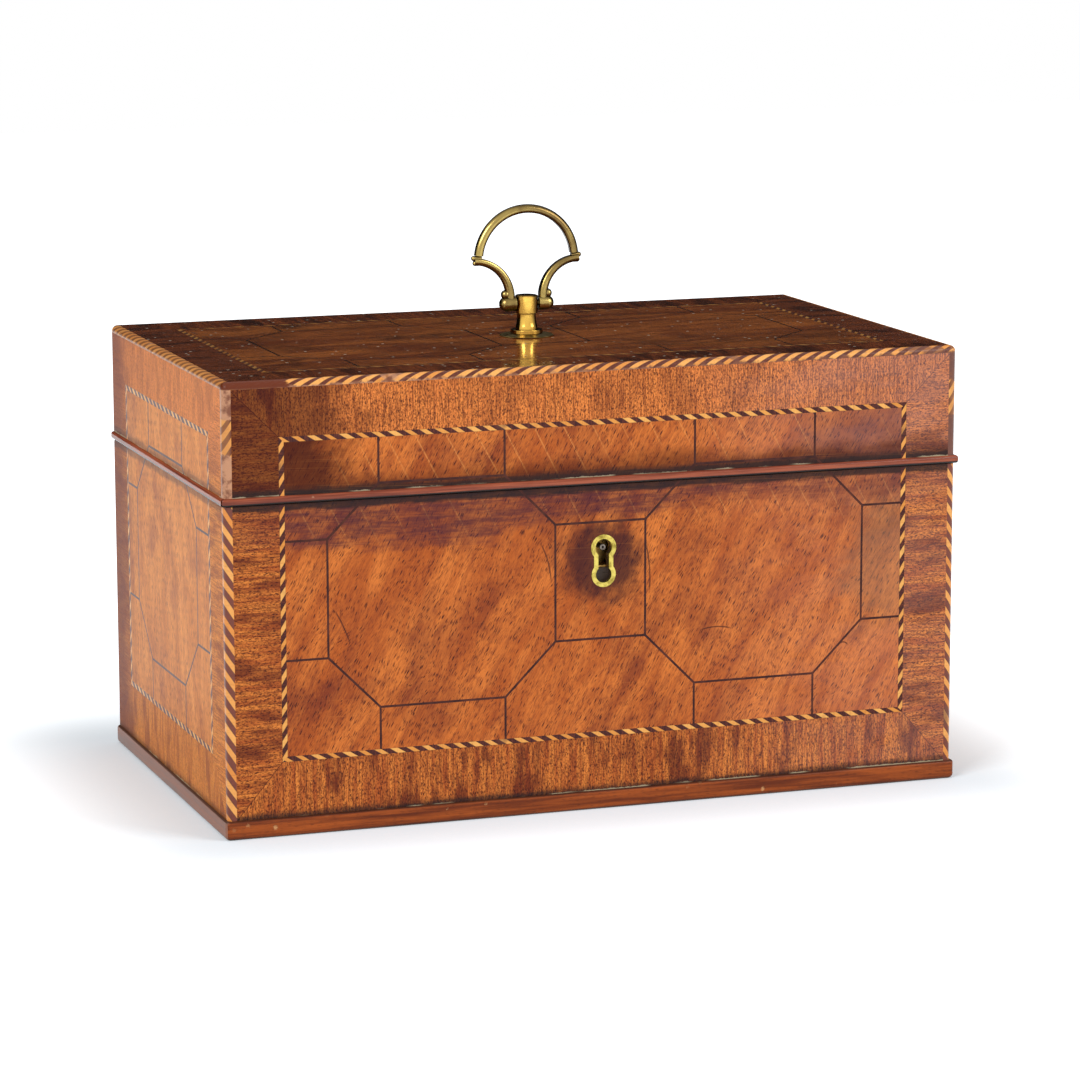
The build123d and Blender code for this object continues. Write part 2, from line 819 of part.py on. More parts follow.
def handle_rose():
    """Thin dished plate under the post."""
    hole = stud_radius + stud_clearance
    profile = Polyline((hole, 0), (rose_radius, 0), (rose_radius, rose_rim))
    dish = ThreePointArc((rose_radius, rose_rim),
                         ((rose_radius + rose_crown_radius) / 2, (rose_rim + rose_height) / 2 - 0.08),
                         (rose_crown_radius, rose_height))
    close = Polyline((rose_crown_radius, rose_height), (hole, rose_height), (hole, 0))
    return Pos(0, 0, lid_top) * turned(profile + dish + close)


def handle_post():
    """Turned post: stud, foot ring, waist and a cylindrical head drilled for the bail."""
    ring_z = rose_height + post_ring_height
    foot_z = ring_z + post_foot_rise
    stud_z = lid_ceiling - lid_top - nut_thickness - stud_end
    lower = Polyline((0, stud_z), (stud_radius, stud_z), (stud_radius, rose_height),
                     (post_ring_radius, rose_height))
    ring = ThreePointArc((post_ring_radius, rose_height),
                         (post_ring_radius + post_ring_height / 4, rose_height + post_ring_height / 2),
                         (post_ring_radius, ring_z))
    step = Polyline((post_ring_radius, ring_z), (post_foot_radius, ring_z),
                    (post_foot_radius, foot_z))
    waist = ThreePointArc(
        (post_foot_radius, foot_z),
        ((post_foot_radius + post_waist_radius) / 2 - 0.15, (foot_z + post_waist_height) / 2),
        (post_waist_radius, post_waist_height))
    head = Polyline((post_waist_radius, post_waist_height), (post_waist_radius, post_head_base),
                    (post_head_radius - post_edge, post_head_base),
                    (post_head_radius, post_head_base + post_edge),
                    (post_head_radius, post_height - post_edge),
                    (post_head_radius - post_edge, post_height), (0, post_height), (0, stud_z))
    post = turned(lower + ring + step + waist + head)
    reach = post_head_radius + 1
    cross = rod(peg_radius + peg_clearance, (-reach, 0, bail_axis_height),
                (reach, 0, bail_axis_height))
    return Pos(0, 0, lid_top) * (post - cross)


def handle_nut():
    """Square nut inside the lid."""
    nut = Box(nut_size, nut_size, nut_thickness)
    nut = chamfer(nut.edges().filter_by(Axis.Z), nut_size / 8)
    nut -= Cylinder(stud_radius, 2 * nut_thickness)
    return Pos(0, 0, lid_ceiling - nut_thickness / 2) * nut


def bail_section(round_side):
    """Section of the bail's bar: round on one side and nearly flat on the other."""
    flat, edge = -bail_rod_width / 2 + bail_flat_crown, bail_flat_width / 2
    back = ThreePointArc((flat, edge), (flat - bail_flat_crown, 0), (flat, -edge))
    front = ThreePointArc((flat, -edge), (bail_rod_width / 2, 0), (flat, edge))
    section = make_face([back, front])
    return section if round_side > 0 else section.rotate(Axis.Z, 180)


def bent_bar(centre_x, centre_z, radius, first, last, round_side):
    """A bar of the bail round an arc in the XZ plane, between two angles from +X."""
    turn = math.radians(first)
    outward = Vector(math.cos(turn), 0, math.sin(turn))
    forward = Vector(-math.sin(turn), 0, math.cos(turn))
    centre = Vector(centre_x, 0, centre_z)
    start = Plane(origin=centre + outward * radius, x_dir=outward, z_dir=forward)
    return revolve(start * bail_section(round_side), Axis(centre, (0, -1, 0)), last - first)


def domed_rod(radius, start, shoulder):
    """Round rod along +X from a flat end to a shoulder, with a domed tip beyond it."""
    slopes = [math.radians(90 * step / dome_slopes) for step in range(1, dome_slopes)]
    dome = [(shoulder + radius * math.sin(a), radius * math.cos(a)) for a in slopes]
    profile = Polyline((start, 0), (start, radius), (shoulder, radius), *dome,
                       (shoulder + radius, 0), close=True)
    return revolve(make_face(profile), Axis.X)


def ball(radius):
    """Small turned ball with a few straight slopes from pole to pole."""
    slopes = [math.radians(90 * step / dome_slopes) for step in range(1 - dome_slopes, dome_slopes)]
    side = [(radius * math.cos(a), radius * math.sin(a)) for a in slopes]
    return turned(Polyline((0, -radius), *side, (0, radius), close=True))


def knuckle():
    """Domed boss beside the post's head, with its pivot peg."""
    boss = domed_rod(boss_radius, boss_face, boss_face + boss_length)
    peg = rod(peg_radius, (boss_face - peg_length, 0, 0), (boss_face + 1, 0, 0))
    return Pos(0, 0, bail_axis_height) * (boss + peg)


def bail_half():
    """Right half of the bail under its ring: arm, knuckle, bead and split lip."""
    half = bent_bar(arm_centre_x, arm_centre_height, arm_radius, 90, 180 - arm_end_angle, -1)
    half += knuckle()
    half += Pos(boss_bead_x, 0, boss_bead_height) * ball(boss_bead_radius)
    for x, z in (lip_upper, lip_lower):
        half += Pos(0, 0, z) * domed_rod(lip_radius, lip_start_x, x)
    return half


def handle_bail():
    """Swan-necked bail in one casting, standing upright."""
    ring = bent_bar(0, bail_ring_height, bail_ring_radius,
                    bail_foot_angle, 180 - bail_foot_angle, 1)
    half = bail_half()
    return Pos(0, 0, lid_top) * (ring + half + mirror(half, about=Plane.YZ))


def main():
    os.makedirs("parts", exist_ok=True)
    front_case, front_lid = front_inlay(case_range), front_inlay(lid_range)
    end_case, end_lid = end_inlay(case_range), end_inlay(lid_range)
    top = top_inlay()

    write("bottom_board", [bottom_board()])
    write("plinth_moulding", plinth())
    write("case_front_board", [front_board()])
    write("case_back_board", [back_board()])
    write("case_right_board", [right_end_board(plinth_height, case_top)])
    write("case_left_board",
          [mirror(right_end_board(plinth_height, case_top), about=Plane.YZ)])

    write("case_front_panels", [piece - escutcheon_blank() for piece in front_case["panels"]])
    write("case_front_banding", front_case["banding"])
    write("case_end_panels", both_ends(end_case["panels"]))
    write("case_end_banding", both_ends(end_back_bevel(end_case["banding"])))
    write("case_back_veneer", [case_back_veneer()])
    write("case_dark_stringing", front_case["lines"] + both_ends(end_case["lines"]))
    write("case_rope_stringing", front_case["rope"] + both_ends(end_case["rope"]))
    write("case_corner_stringing", case_corner_strings())
    write("escutcheon", escutcheon())

    write("lock_plate", [lock_plate()])
    write("lock_cap", [lock_cap()])
    write("lock_key_pin", [key_pin()])
    write("lock_bolt", [bolt()])
    write("lock_bolt_spring", [bolt_spring()])
    write("lock_screws", [screw(place, (0, 1, 0), 30) for place in lock_screw_places()])
    write("link_plate", [link_plate()])
    write("link_staples", link_staples())
    write("link_plate_screws", [screw(place, (0, 0, -1), 20) for place in link_screw_places()])

    write("hinge_case_leaves", [hinge_leaf_piece(x, "case") for x in hinge_centres()])
    write("hinge_lid_leaves", [hinge_leaf_piece(x, "lid") for x in hinge_centres()])
    write("hinge_pins", hinge_pins())
    write("hinge_case_screws",
          [screw(place, (0, 0, 1), 15) for place in hinge_screw_places(case_top)])
    write("hinge_lid_screws",
          [screw(place, (0, 0, -1), 40) for place in hinge_screw_places(lid_underside)])

    write("partition_right", [partition_board()])
    write("partition_left", [mirror(partition_board(), about=Plane.YZ)])
    write("compartment_ledges", both_ends(ledges()))
    write("inner_lid_right", [inner_lid()])
    write("inner_lid_left", [mirror(inner_lid(), about=Plane.YZ)])
    write("inner_knob_right", [knob()])
    write("inner_knob_left", [mirror(knob(), about=Plane.YZ)])

    write("lid_front_board", [lid_front_board()])
    write("lid_back_board", [lid_back_board()])
    write("lid_right_board", [right_end_board(lid_underside, lid_ceiling)])
    write("lid_left_board",
          [mirror(right_end_board(lid_underside, lid_ceiling), about=Plane.YZ)])
    write("lid_top_board", [lid_top_board()])
    write("lid_front_panels", front_lid["panels"])
    write("lid_front_banding", front_lid["banding"])
    write("lid_end_panels", both_ends(end_lid["panels"]))
    write("lid_end_banding", both_ends(end_back_bevel(end_lid["banding"])))
    write("lid_back_veneer", [lid_back_veneer()])
    stud_hole = Pos(0, 0, lid_top) * Cylinder(stud_radius + stud_clearance, 4 * veneer)
    write("lid_top_panels", [piece - stud_hole for piece in top["panels"]])
    write("lid_top_banding", top["banding"])
    write("lid_dark_stringing", front_lid["lines"] + both_ends(end_lid["lines"]) + top["lines"])
    write("lid_rope_stringing", front_lid["rope"] + both_ends(end_lid["rope"]) + top["rope"])
    write("lid_edge_stringing", lid_edge_strings())
    write("lid_bead_moulding", lid_bead())

    write("handle_rose", [handle_rose()])
    write("handle_post", [handle_post()])
    write("handle_nut", [handle_nut()])
    write("handle_bail", [handle_bail()])


main()
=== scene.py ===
import math
import bmesh
import bpy
from mathutils import Matrix, Vector


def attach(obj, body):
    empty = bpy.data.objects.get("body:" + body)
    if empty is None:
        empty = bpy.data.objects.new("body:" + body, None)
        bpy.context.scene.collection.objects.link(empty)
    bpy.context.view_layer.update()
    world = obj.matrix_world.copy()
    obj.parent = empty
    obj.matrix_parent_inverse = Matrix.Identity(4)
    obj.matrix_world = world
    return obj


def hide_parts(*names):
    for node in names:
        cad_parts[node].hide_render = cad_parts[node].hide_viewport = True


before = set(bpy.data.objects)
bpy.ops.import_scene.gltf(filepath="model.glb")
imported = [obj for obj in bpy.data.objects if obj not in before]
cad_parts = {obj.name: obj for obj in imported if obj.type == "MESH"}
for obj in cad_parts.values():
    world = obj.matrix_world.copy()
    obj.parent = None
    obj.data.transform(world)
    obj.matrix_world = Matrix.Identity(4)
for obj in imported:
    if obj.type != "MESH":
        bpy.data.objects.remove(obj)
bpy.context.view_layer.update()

# Carcass of the case: a bottom board, front, back and two ends of plain mahogany,
# butted and glued, and left in the wood inside. Only the veneer outside is polished.

MAHOGANY_PALE = "#9c6b45"
MAHOGANY_MID = "#7d4d2f"
MAHOGANY_PORE = "#3f2216"
KEYHOLE_GREASE_AND_SHADE = "#1a0f0b"
BOARD_STREAK = (0.090, 0.0030, 0.0030)
BOARD_PORE = (0.0045, 0.0004, 0.0004)
KEYHOLE = (0.0010, -0.087, 0.0985)
KEYHOLE_DARK_REACH = (0.0200, 0.0130)
GRAIN_ALONG_X = (0, 0, 0)
GRAIN_ALONG_Y = (0, 0, math.radians(90))


def tint(code):
    """A colour as it looks on a screen, as the shader wants it."""
    parts = [int(code[i:i + 2], 16) / 255 for i in (1, 3, 5)]
    linear = [p / 12.92 if p <= 0.04045 else ((p + 0.055) / 1.055) ** 2.4 for p in parts]
    return (*linear, 1.0)


def place(tree, kind, inputs=(), **settings):
    """A shader node with its settings, and its inputs as values or links."""
    node = tree.nodes.new("ShaderNode" + kind)
    for name, value in settings.items():
        setattr(node, name, value)
    for name, value in dict(inputs).items():
        if isinstance(value, bpy.types.NodeSocket):
            tree.links.new(value, node.inputs[name])
        else:
            node.inputs[name].default_value = value
    return node


def feed(sockets, **values):
    """Links values into the sockets of a shader or out of a group, by their names."""
    for name, value in values.items():
        socket = sockets[name.replace("_", " ")]
        socket.id_data.links.new(value, socket)


def reckon(tree, operation, *values):
    """One sum on one, two or three values."""
    return place(tree, "Math", enumerate(values), operation=operation).outputs[0]


def times(tree, first, second):
    """Where two masks both hold, or a share of one."""
    return reckon(tree, "MULTIPLY", first, second)


def less(tree, first, second):
    """One value with another taken off."""
    return reckon(tree, "SUBTRACT", first, second)


def ease(tree, value, low, high, start=0.0, end=1.0):
    """Goes smoothly from start to end while a value goes from low to high."""
    settings = {0: value, 1: low, 2: high, 3: start, 4: end}
    return place(tree, "MapRange", settings, interpolation_type="SMOOTHSTEP").outputs[0]


def reckon_all(tree, operation, *vectors):
    """One sum on whole vectors."""
    return place(tree, "VectorMath", enumerate(vectors), operation=operation).outputs[0]


def gap(tree, first, second):
    """How far apart two points are."""
    settings = {0: first, 1: second}
    return place(tree, "VectorMath", settings, operation="DISTANCE").outputs["Value"]


def drawn(tree, cells):
    """A value drawn by lot for each cell of a pattern."""
    return place(tree, "SeparateColor", {0: cells["Color"]}).outputs[0]


def glaze(tree, mask, under, over):
    """One colour laid over another where a mask allows it."""
    under, over = (tint(c) if isinstance(c, str) else c for c in (under, over))
    return place(tree, "Mix", {0: mask, 6: under, 7: over}, data_type="RGBA").outputs[2]


def cloud(tree, vector, scale=1.0, detail=3.0, roughness=0.55, distortion=0.0):
    """Soft irregular patches, about one to each unit of the coordinates."""
    settings = {"Vector": vector, "Scale": scale, "Detail": detail,
                "Roughness": roughness, "Distortion": distortion}
    return place(tree, "TexNoise", settings).outputs[0]


def lay(tree, vector, turn=(0, 0, 0), size=(1, 1, 1)):
    """Coordinates turned to lie with the grain and counted in one size of mark."""
    settings = {"Vector": vector, "Rotation": turn, "Scale": size}
    return place(tree, "Mapping", settings, vector_type="TEXTURE").outputs[0]


def new_group(name, inputs, outputs):
    """An empty group of nodes with named sockets, and its two ends."""
    group = bpy.data.node_groups.new(name, "ShaderNodeTree")
    for label, kind in inputs.items():
        group.interface.new_socket(label, in_out="INPUT", socket_type="NodeSocket" + kind)
    for label in outputs:
        group.interface.new_socket(label, in_out="OUTPUT", socket_type="NodeSocketFloat")
    start, end = group.nodes.new("NodeGroupInput"), group.nodes.new("NodeGroupOutput")
    return group, start.outputs, end.inputs


def use(tree, group, **inputs):
    """A group placed in a material with its own values."""
    return place(tree, "Group", inputs, node_tree=group).outputs


def build_wood_grain():
    """Long soft streaks, dark pores and fine speckle along X of the coordinates."""
    group, start, end = new_group(
        "Wood grain", {"Vector": "Vector", "Streak": "Vector", "Pore": "Vector",
                       "Share": "Float", "Waver": "Float"}, ["Streaks", "Pores", "Speckle"])
    sway = cloud(group, lay(group, start["Vector"], size=(0.03, 0.02, 0.02)), detail=2.0)
    sway = times(group, less(group, sway, 0.5), start["Waver"])
    sideways = place(group, "CombineXYZ", {"Y": sway, "Z": sway}).outputs[0]
    bent = reckon_all(group, "ADD", start["Vector"], sideways)
    long = reckon_all(group, "DIVIDE", bent, start["Streak"])
    short = reckon_all(group, "DIVIDE", bent, start["Pore"])
    cells = place(group, "TexVoronoi", {"Vector": short, "Scale": 1.0}).outputs
    dash = ease(group, cells["Distance"], 0.42, 0.14)
    depth = ease(group, reckon(group, "ADD", drawn(group, cells), start["Share"]), 1.0, 1.35)
    grit = cloud(group, short, 1.1, 2.0, 0.6, 0.3)
    feed(end, Streaks=cloud(group, long, detail=4.0, roughness=0.65),
         Pores=times(group, dash, depth), Speckle=ease(group, grit, 0.50, 0.66))
    return group


wood_grain = build_wood_grain()


def new_material(name, roughness, specular=0.5, metallic=0.0):
    """A material with its shader's plain values set, its node tree and its shader."""
    material = bpy.data.materials.new(name)
    material.use_nodes = True
    sockets = material.node_tree.nodes["Principled BSDF"].inputs
    sockets["Roughness"].default_value = roughness
    sockets["Specular IOR Level"].default_value = specular
    sockets["Metallic"].default_value = metallic
    return material, material.node_tree, sockets


def where(tree):
    """The place of each point of the surface in the piece's own coordinates."""
    return place(tree, "TexCoord").outputs["Object"]


def raise_surface(tree, sockets, height, distance):
    """Turns a height into the surface's small hollows and rises."""
    bump = place(tree, "Bump", {"Height": height, "Distance": distance, "Strength": 1.0})
    feed(sockets, Normal=bump.outputs[0])


def board_wood(name, turn, pale, mid, roughness):
    """Plain sawn board with its grain one way, black inside the keyhole, greasy there and painted
    with shade.
    """
    material, tree, sockets = new_material(name, roughness)
    point = where(tree)
    grain = use(tree, wood_grain, Vector=lay(tree, point, turn), Streak=BOARD_STREAK,
                Pore=BOARD_PORE, Share=0.60, Waver=0.002)
    colour = glaze(tree, ease(tree, grain["Streaks"], 0.30, 0.70), mid, pale)
    colour = glaze(tree, grain["Pores"], colour, MAHOGANY_PORE)
    # painted shade over greasy wood: the board goes black inside and round the keyhole
    grease_and_shade = ease(tree, gap(tree, point, KEYHOLE), *KEYHOLE_DARK_REACH, 0.0, 0.92)
    feed(sockets, Base_Color=glaze(tree, grease_and_shade, colour, KEYHOLE_GREASE_AND_SHADE))
    raise_surface(tree, sockets, less(tree, grain["Streaks"], grain["Pores"]), 0.00008)
    return material


def dress(material, *nodes):
    """Gives CAD nodes a material in every slot they have."""
    for node in nodes:
        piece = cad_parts[node]
        if not piece.material_slots:
            piece.data.materials.append(material)
        for slot in piece.material_slots:
            slot.material = material


board_along = board_wood("Carcass mahogany along X", GRAIN_ALONG_X, MAHOGANY_PALE,
                         MAHOGANY_MID, 0.62)
board_across = board_wood("Carcass mahogany along Y", GRAIN_ALONG_Y, MAHOGANY_PALE,
                          MAHOGANY_MID, 0.62)
dress(board_along, "bottom_board", "case_front_board", "case_back_board")
dress(board_across, "case_right_board", "case_left_board")

# Plinth: four strips of solid mahogany with rounded edges, mitred at the corners
# and glued round the bottom board. Their polish is worn and full of small knocks.

PLINTH_TOP = 0.0074
PLINTH_REACH = Vector((0.1512, 0.0882))
PLINTH_CORNER = 0.0020
PLINTH_EDGES = ((0.0, 0.0013, 0.0019), (PLINTH_TOP, 0.0006, 0.0010))  # level, planed, worn
END_STRIPS = 0.063                      # |x| - |y| is above this on the strips at the ends
PLINTH_WOOD = "#a65222"
PLINTH_DARK = "#612a16"
PLINTH_FADED = "#9a7b6d"
PLINTH_KNOCK = "#cf9a68"
PLINTH_PAINTED_SHADE = "#2c1a14"
SOFT_EDGE = math.radians(34)
INSIDE = 0.0003
SAME_PLACE = 0.000001


def build_scuffs():
    """Small pale knocks and short fine scratches, in counts per metre."""
    group, start, end = new_group(
        "Scuffs", {"Vector": "Vector", "Amount": "Float"}, ["Knocks", "Scratches"])
    spots = place(group, "TexVoronoi", {"Vector": start["Vector"], "Scale": 190.0}).outputs
    rare = ease(group, drawn(group, spots), less(group, 1.0, start["Amount"]), 1.0)
    crumbs = times(group, cloud(group, start["Vector"], 1500.0), 0.25)
    ragged = reckon(group, "ADD", spots["Distance"], crumbs)
    tilted = lay(group, start["Vector"], (0.4, 0.9, 0.6), (0.028, 0.00035, 0.00035))
    lines = ease(group, cloud(group, tilted, detail=1.0), 0.76, 0.80)
    patch = ease(group, cloud(group, start["Vector"], 40.0, 1.0), 0.50, 0.62)
    feed(end, Knocks=times(group, ease(group, ragged, 0.34, 0.22), rare),
         Scratches=times(group, lines, patch))
    return group


scuffs = build_scuffs()


def split(tree, vector):
    """The X, Y and Z of a vector."""
    return place(tree, "SeparateXYZ", {0: vector}).outputs


def at_ends(tree, point):
    """1 on the strips along the ends and 0 on those along the front and back."""
    reach = split(tree, reckon_all(tree, "ABSOLUTE", point))
    return reckon(tree, "GREATER_THAN", less(tree, reach["X"], reach["Y"]), END_STRIPS)


def along_strips(tree, point):
    """Coordinates that run along the front and back strips, and along the end ones."""
    settings = {0: at_ends(tree, point), 4: point, 5: lay(tree, point, GRAIN_ALONG_Y)}
    return place(tree, "Mix", settings, data_type="VECTOR").outputs[1]


def either(tree, first, second):
    """The stronger of two masks."""
    return reckon(tree, "MAXIMUM", first, second)


def plinth_finish():
    """Solid mahogany, faded at the ends, with painted shade, near black, along its foot where it
    meets the table and under its top edge.
    """
    material, tree, sockets = new_material("Plinth mahogany", 0.30, 0.14)
    point = where(tree)
    grain = use(tree, wood_grain, Vector=along_strips(tree, point),
                Streak=(0.050, 0.0022, 0.0022), Pore=(0.0030, 0.0003, 0.0003), Share=0.60,
                Waver=0.001)
    marks = use(tree, scuffs, Vector=point, Amount=0.22)
    colour = glaze(tree, ease(tree, grain["Streaks"], 0.30, 0.72), PLINTH_DARK, PLINTH_WOOD)
    colour = glaze(tree, times(tree, grain["Pores"], 0.6), colour, MAHOGANY_PORE)
    colour = glaze(tree, times(tree, at_ends(tree, point), 0.55), colour, PLINTH_FADED)
    colour = glaze(tree, marks["Knocks"], colour, PLINTH_KNOCK)
    height = split(tree, point)["Z"]
    # painted shade: near black along the foot and just under the top edge of the plinth
    foot = ease(tree, height, 0.0014, 0.0, 0.0, 0.75)
    seam = ease(tree, height, PLINTH_TOP - 0.0007, PLINTH_TOP - 0.0002, 0.0, 0.75)
    colour = glaze(tree, either(tree, foot, seam), colour, PLINTH_PAINTED_SHADE)
    rough = reckon(tree, "MULTIPLY_ADD", grain["Streaks"], 0.20, 0.22)
    feed(sockets, Base_Color=colour, Roughness=reckon(tree, "ADD", rough, marks["Knocks"]))
    dents = less(tree, grain["Streaks"], times(tree, marks["Knocks"], 3.0))
    raise_surface(tree, sockets, dents, 0.00010)
    return material


def stands_in(shape, name, body, slot, material, *nodes, edge=SOFT_EDGE):
    """Turns a bmesh into a smooth piece that rides on a body in place of CAD nodes."""
    mesh = bpy.data.meshes.new(name)
    shape.to_mesh(mesh)
    shape.free()
    if "custom_normal" in mesh.attributes:
        mesh.attributes.remove(mesh.attributes["custom_normal"])
    mesh.shade_smooth()
    mesh.set_sharp_from_angle(angle=edge)
    mesh.materials.clear()
    mesh.materials.append(material)
    piece = bpy.data.objects.new(name, mesh)
    bpy.context.scene.collection.objects.link(piece)
    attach(piece, body)
    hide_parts(*nodes)
    return piece


def merge_parts(shape, part_of):
    """Merges the corners of each part of a mesh, and none of one part with another's."""
    parts = {}
    for face in shape.faces:
        within = face.calc_center_median() - face.normal * INSIDE
        parts.setdefault(part_of(within), []).append(face)
    for faces in parts.values():
        corners = list(dict.fromkeys(corner for face in faces for corner in face.verts))
        bmesh.ops.remove_doubles(shape, verts=corners, dist=SAME_PLACE)


def smoothed(node, name, body, slot, material, part_of=lambda point: 0):
    """A copy of a CAD node with its corners merged, so that round faces look round."""
    shape = bmesh.new()
    shape.from_mesh(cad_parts[node].data)
    merge_parts(shape, part_of)
    return stands_in(shape, name, body, slot, material, node)


def strip_of_plinth(point):
    """Which of the four mitred strips holds a point."""
    if abs(point.x) - abs(point.y) > END_STRIPS:
        return "end", point.x > 0
    return "long", point.y > 0


def wear_edges(mesh):
    """Rounds the outer edges of the plinth further than they were planed."""
    straight = PLINTH_REACH - Vector((PLINTH_CORNER, PLINTH_CORNER))
    for corner in mesh.vertices:
        beyond = Vector((abs(corner.co.x), abs(corner.co.y))) - straight
        if min(beyond) > 0:
            inset, out = PLINTH_CORNER - beyond.length, beyond.normalized()
        else:
            inset = PLINTH_CORNER - max(beyond)
            out = Vector((1, 0) if beyond.x > beyond.y else (0, 1))
        for level, planed, worn in PLINTH_EDGES:
            rise = corner.co.z - level
            if max(inset, abs(rise)) < planed + SAME_PLACE:
                step = out * inset * (worn / planed - 1)
                corner.co.x -= math.copysign(step.x, corner.co.x)
                corner.co.y -= math.copysign(step.y, corner.co.y)
                corner.co.z = level + rise * worn / planed


plinth = smoothed("plinth_moulding", "plinth_strips", "case", "plinth_wood", plinth_finish(),
                  strip_of_plinth)
wear_edges(plinth.data)

# Panels: mahogany veneer under a millimetre thick, sawn from one leaf, cut to the
# octagons and corner pieces of the drawing, glued down and polished together.

JOINT = 0.1284
BEAD_TOP = 0.1316
LEAF_BRIGHT = "#dc7c38"
LEAF_MID = "#b55b27"
LEAF_DARK = "#6c2c20"
LEAF_PORE = "#341317"
VEIN = "#e2904c"
SCRATCH = "#34191a"
DUST = "#b3a486"
DIRT_AND_PAINTED_LIGHT = {"Bloom": "#c3a4a4", "Olive": "#8a6a48", "Shade": LEAF_DARK, "Stain": "#3f1c2c",
        "Soot": "#380b06", "Halo": "#2c101b", "Grime": "#201a1b", "Dust": DUST,
        "Specks": "#c9bfae"}


def moved(tree, value, wander, reach):
    """A value shifted by an irregular one, so that an edge runs ragged."""
    return reckon(tree, "MULTIPLY_ADD", wander, reach, value)


def build_handling_and_painted_light():
    """Where hands, wax and dust have darkened the outside, and where sheen and shade are painted
    on, from 0 to 1.
    """
    group, start, end = new_group("Handling and painted light", {"Vector": "Vector"}, DIRT_AND_PAINTED_LIGHT)
    point = start["Vector"]
    parts = split(group, point)
    wide = cloud(group, lay(group, point, size=(0.030, 0.02, 0.010)), 1.0, 4.0, 0.62)
    fine = cloud(group, lay(group, point, size=(0.012, 0.01, 0.0016)), 1.0, 4.0, 0.65)
    ragged = less(group, wide, 0.5)
    sideways = moved(group, parts["X"], ragged, 0.050)
    in_lid = ease(group, parts["Z"], JOINT, JOINT + 0.0002)
    in_case = less(group, 1.0, in_lid)

    # Purple stain under the joint, deeper at the left, and on the lid's right-hand end
    deep = ease(group, parts["X"], 0.045, -0.060, 0.0095, 0.017)
    edge = moved(group, less(group, JOINT, deep), ragged, 0.030)
    under = ease(group, less(group, parts["Z"], edge), -0.0045, 0.0050)
    right = ease(group, parts["X"], 0.010, 0.120, 1.0, 0.60)
    under = times(group, times(group, under, right), in_case)
    under = times(group, under, ease(group, fine, 0.36, 0.62, 0.70, 1.25))
    far_right = times(group, ease(group, sideways, 0.074, 0.096, 0.0, 0.55), in_lid)
    feed(end, Stain=either(group, under, far_right))

    # Painted sheen, pale and greyish, towards the right, twice as strong on the lid
    painted_sheen = times(group, ease(group, parts["X"], 0.02, 0.125),
                  ease(group, wide, 0.30, 0.60, 0.5, 1.0))
    feed(end, Bloom=times(group, painted_sheen, reckon(group, "ADD", in_lid, 1.0)))

    # A greener leaf at the right-hand edge of the case
    level = reckon(group, "ABSOLUTE", less(group, parts["Z"], 0.092))
    olive = times(group, ease(group, sideways, 0.090, 0.116), ease(group, level, 0.036, 0.016))
    feed(end, Olive=times(group, olive, in_case))

    # Soot in the lid's left-hand corner and along its foot
    corner = ease(group, sideways, -0.088, -0.118)
    foot = ease(group, moved(group, parts["Z"], ragged, 0.014), 0.1430, 0.1330, 0.0, 0.85)
    feed(end, Soot=times(group, either(group, corner, foot), in_lid))

    # Darker towards the back of both ends
    back = moved(group, parts["Y"], ragged, 0.030)
    feed(end, Shade=ease(group, back, 0.048, 0.080))

    # Dark halo that keys and fingers have left round the keyhole
    blots = less(group, cloud(group, point, 150.0, 3.0, 0.60), 0.5)
    around = moved(group, gap(group, point, KEYHOLE), blots, 0.016)
    feed(end, Halo=ease(group, around, 0.0218, 0.0098))

    # Dirt over the bead, and painted shade along the upper arris of the case under the bead and in
    # the corner over the plinth
    above = moved(group, parts["Z"], fine, -0.0040)
    above = times(group, ease(group, above, BEAD_TOP + 0.0020, BEAD_TOP - 0.0010), in_lid)
    # painted shade: dark along the case's upper arris, under the bead
    arris = moved(group, parts["Z"], fine, 0.0030)
    arris = times(group, ease(group, arris, JOINT - 0.0020, JOINT - 0.0004), in_case)
    # painted shade: dark in the corner just over the plinth
    low = ease(group, moved(group, parts["Z"], fine, -0.0030), 0.0092, 0.0060)
    feed(end, Grime=either(group, either(group, above, arris), low))

    # Specks of dust on the top
    cells = place(group, "TexVoronoi", {"Vector": point, "Scale": 260.0}).outputs
    small = ease(group, cells["Distance"], 0.20, 0.12)
    few = ease(group, moved(group, drawn(group, cells), wide, 0.6), 1.00, 1.14)
    feed(end, Specks=times(group, small, few))

    # Dust caught on the plinth and on the bead
    crumbs = cloud(group, point, 420.0, 3.0, 0.7)
    lifted = moved(group, parts["Z"], crumbs, -0.0014)
    here = ease(group, cloud(group, point, 45.0, 2.0), 0.46, 0.56)
    on_plinth = ease(group, lifted, PLINTH_TOP - 0.0002, PLINTH_TOP - 0.0004)
    on_bead = times(group, in_lid, ease(group, lifted, BEAD_TOP - 0.0002, BEAD_TOP - 0.0004))
    feed(end, Dust=times(group, either(group, on_plinth, on_bead), here))
    return group


handling_and_painted_light = build_handling_and_painted_light()


def soiled_with_painted_light(tree, point, colour, **shares):
    """The colour of polished wood with each kind of soiling, painted sheen and painted shade laid
    over it.
    """
    soil_and_light = use(tree, handling_and_painted_light, Vector=point)
    for name, share in shares.items():
        colour = glaze(tree, times(tree, soil_and_light[name], share), colour, DIRT_AND_PAINTED_LIGHT[name])
    return colour


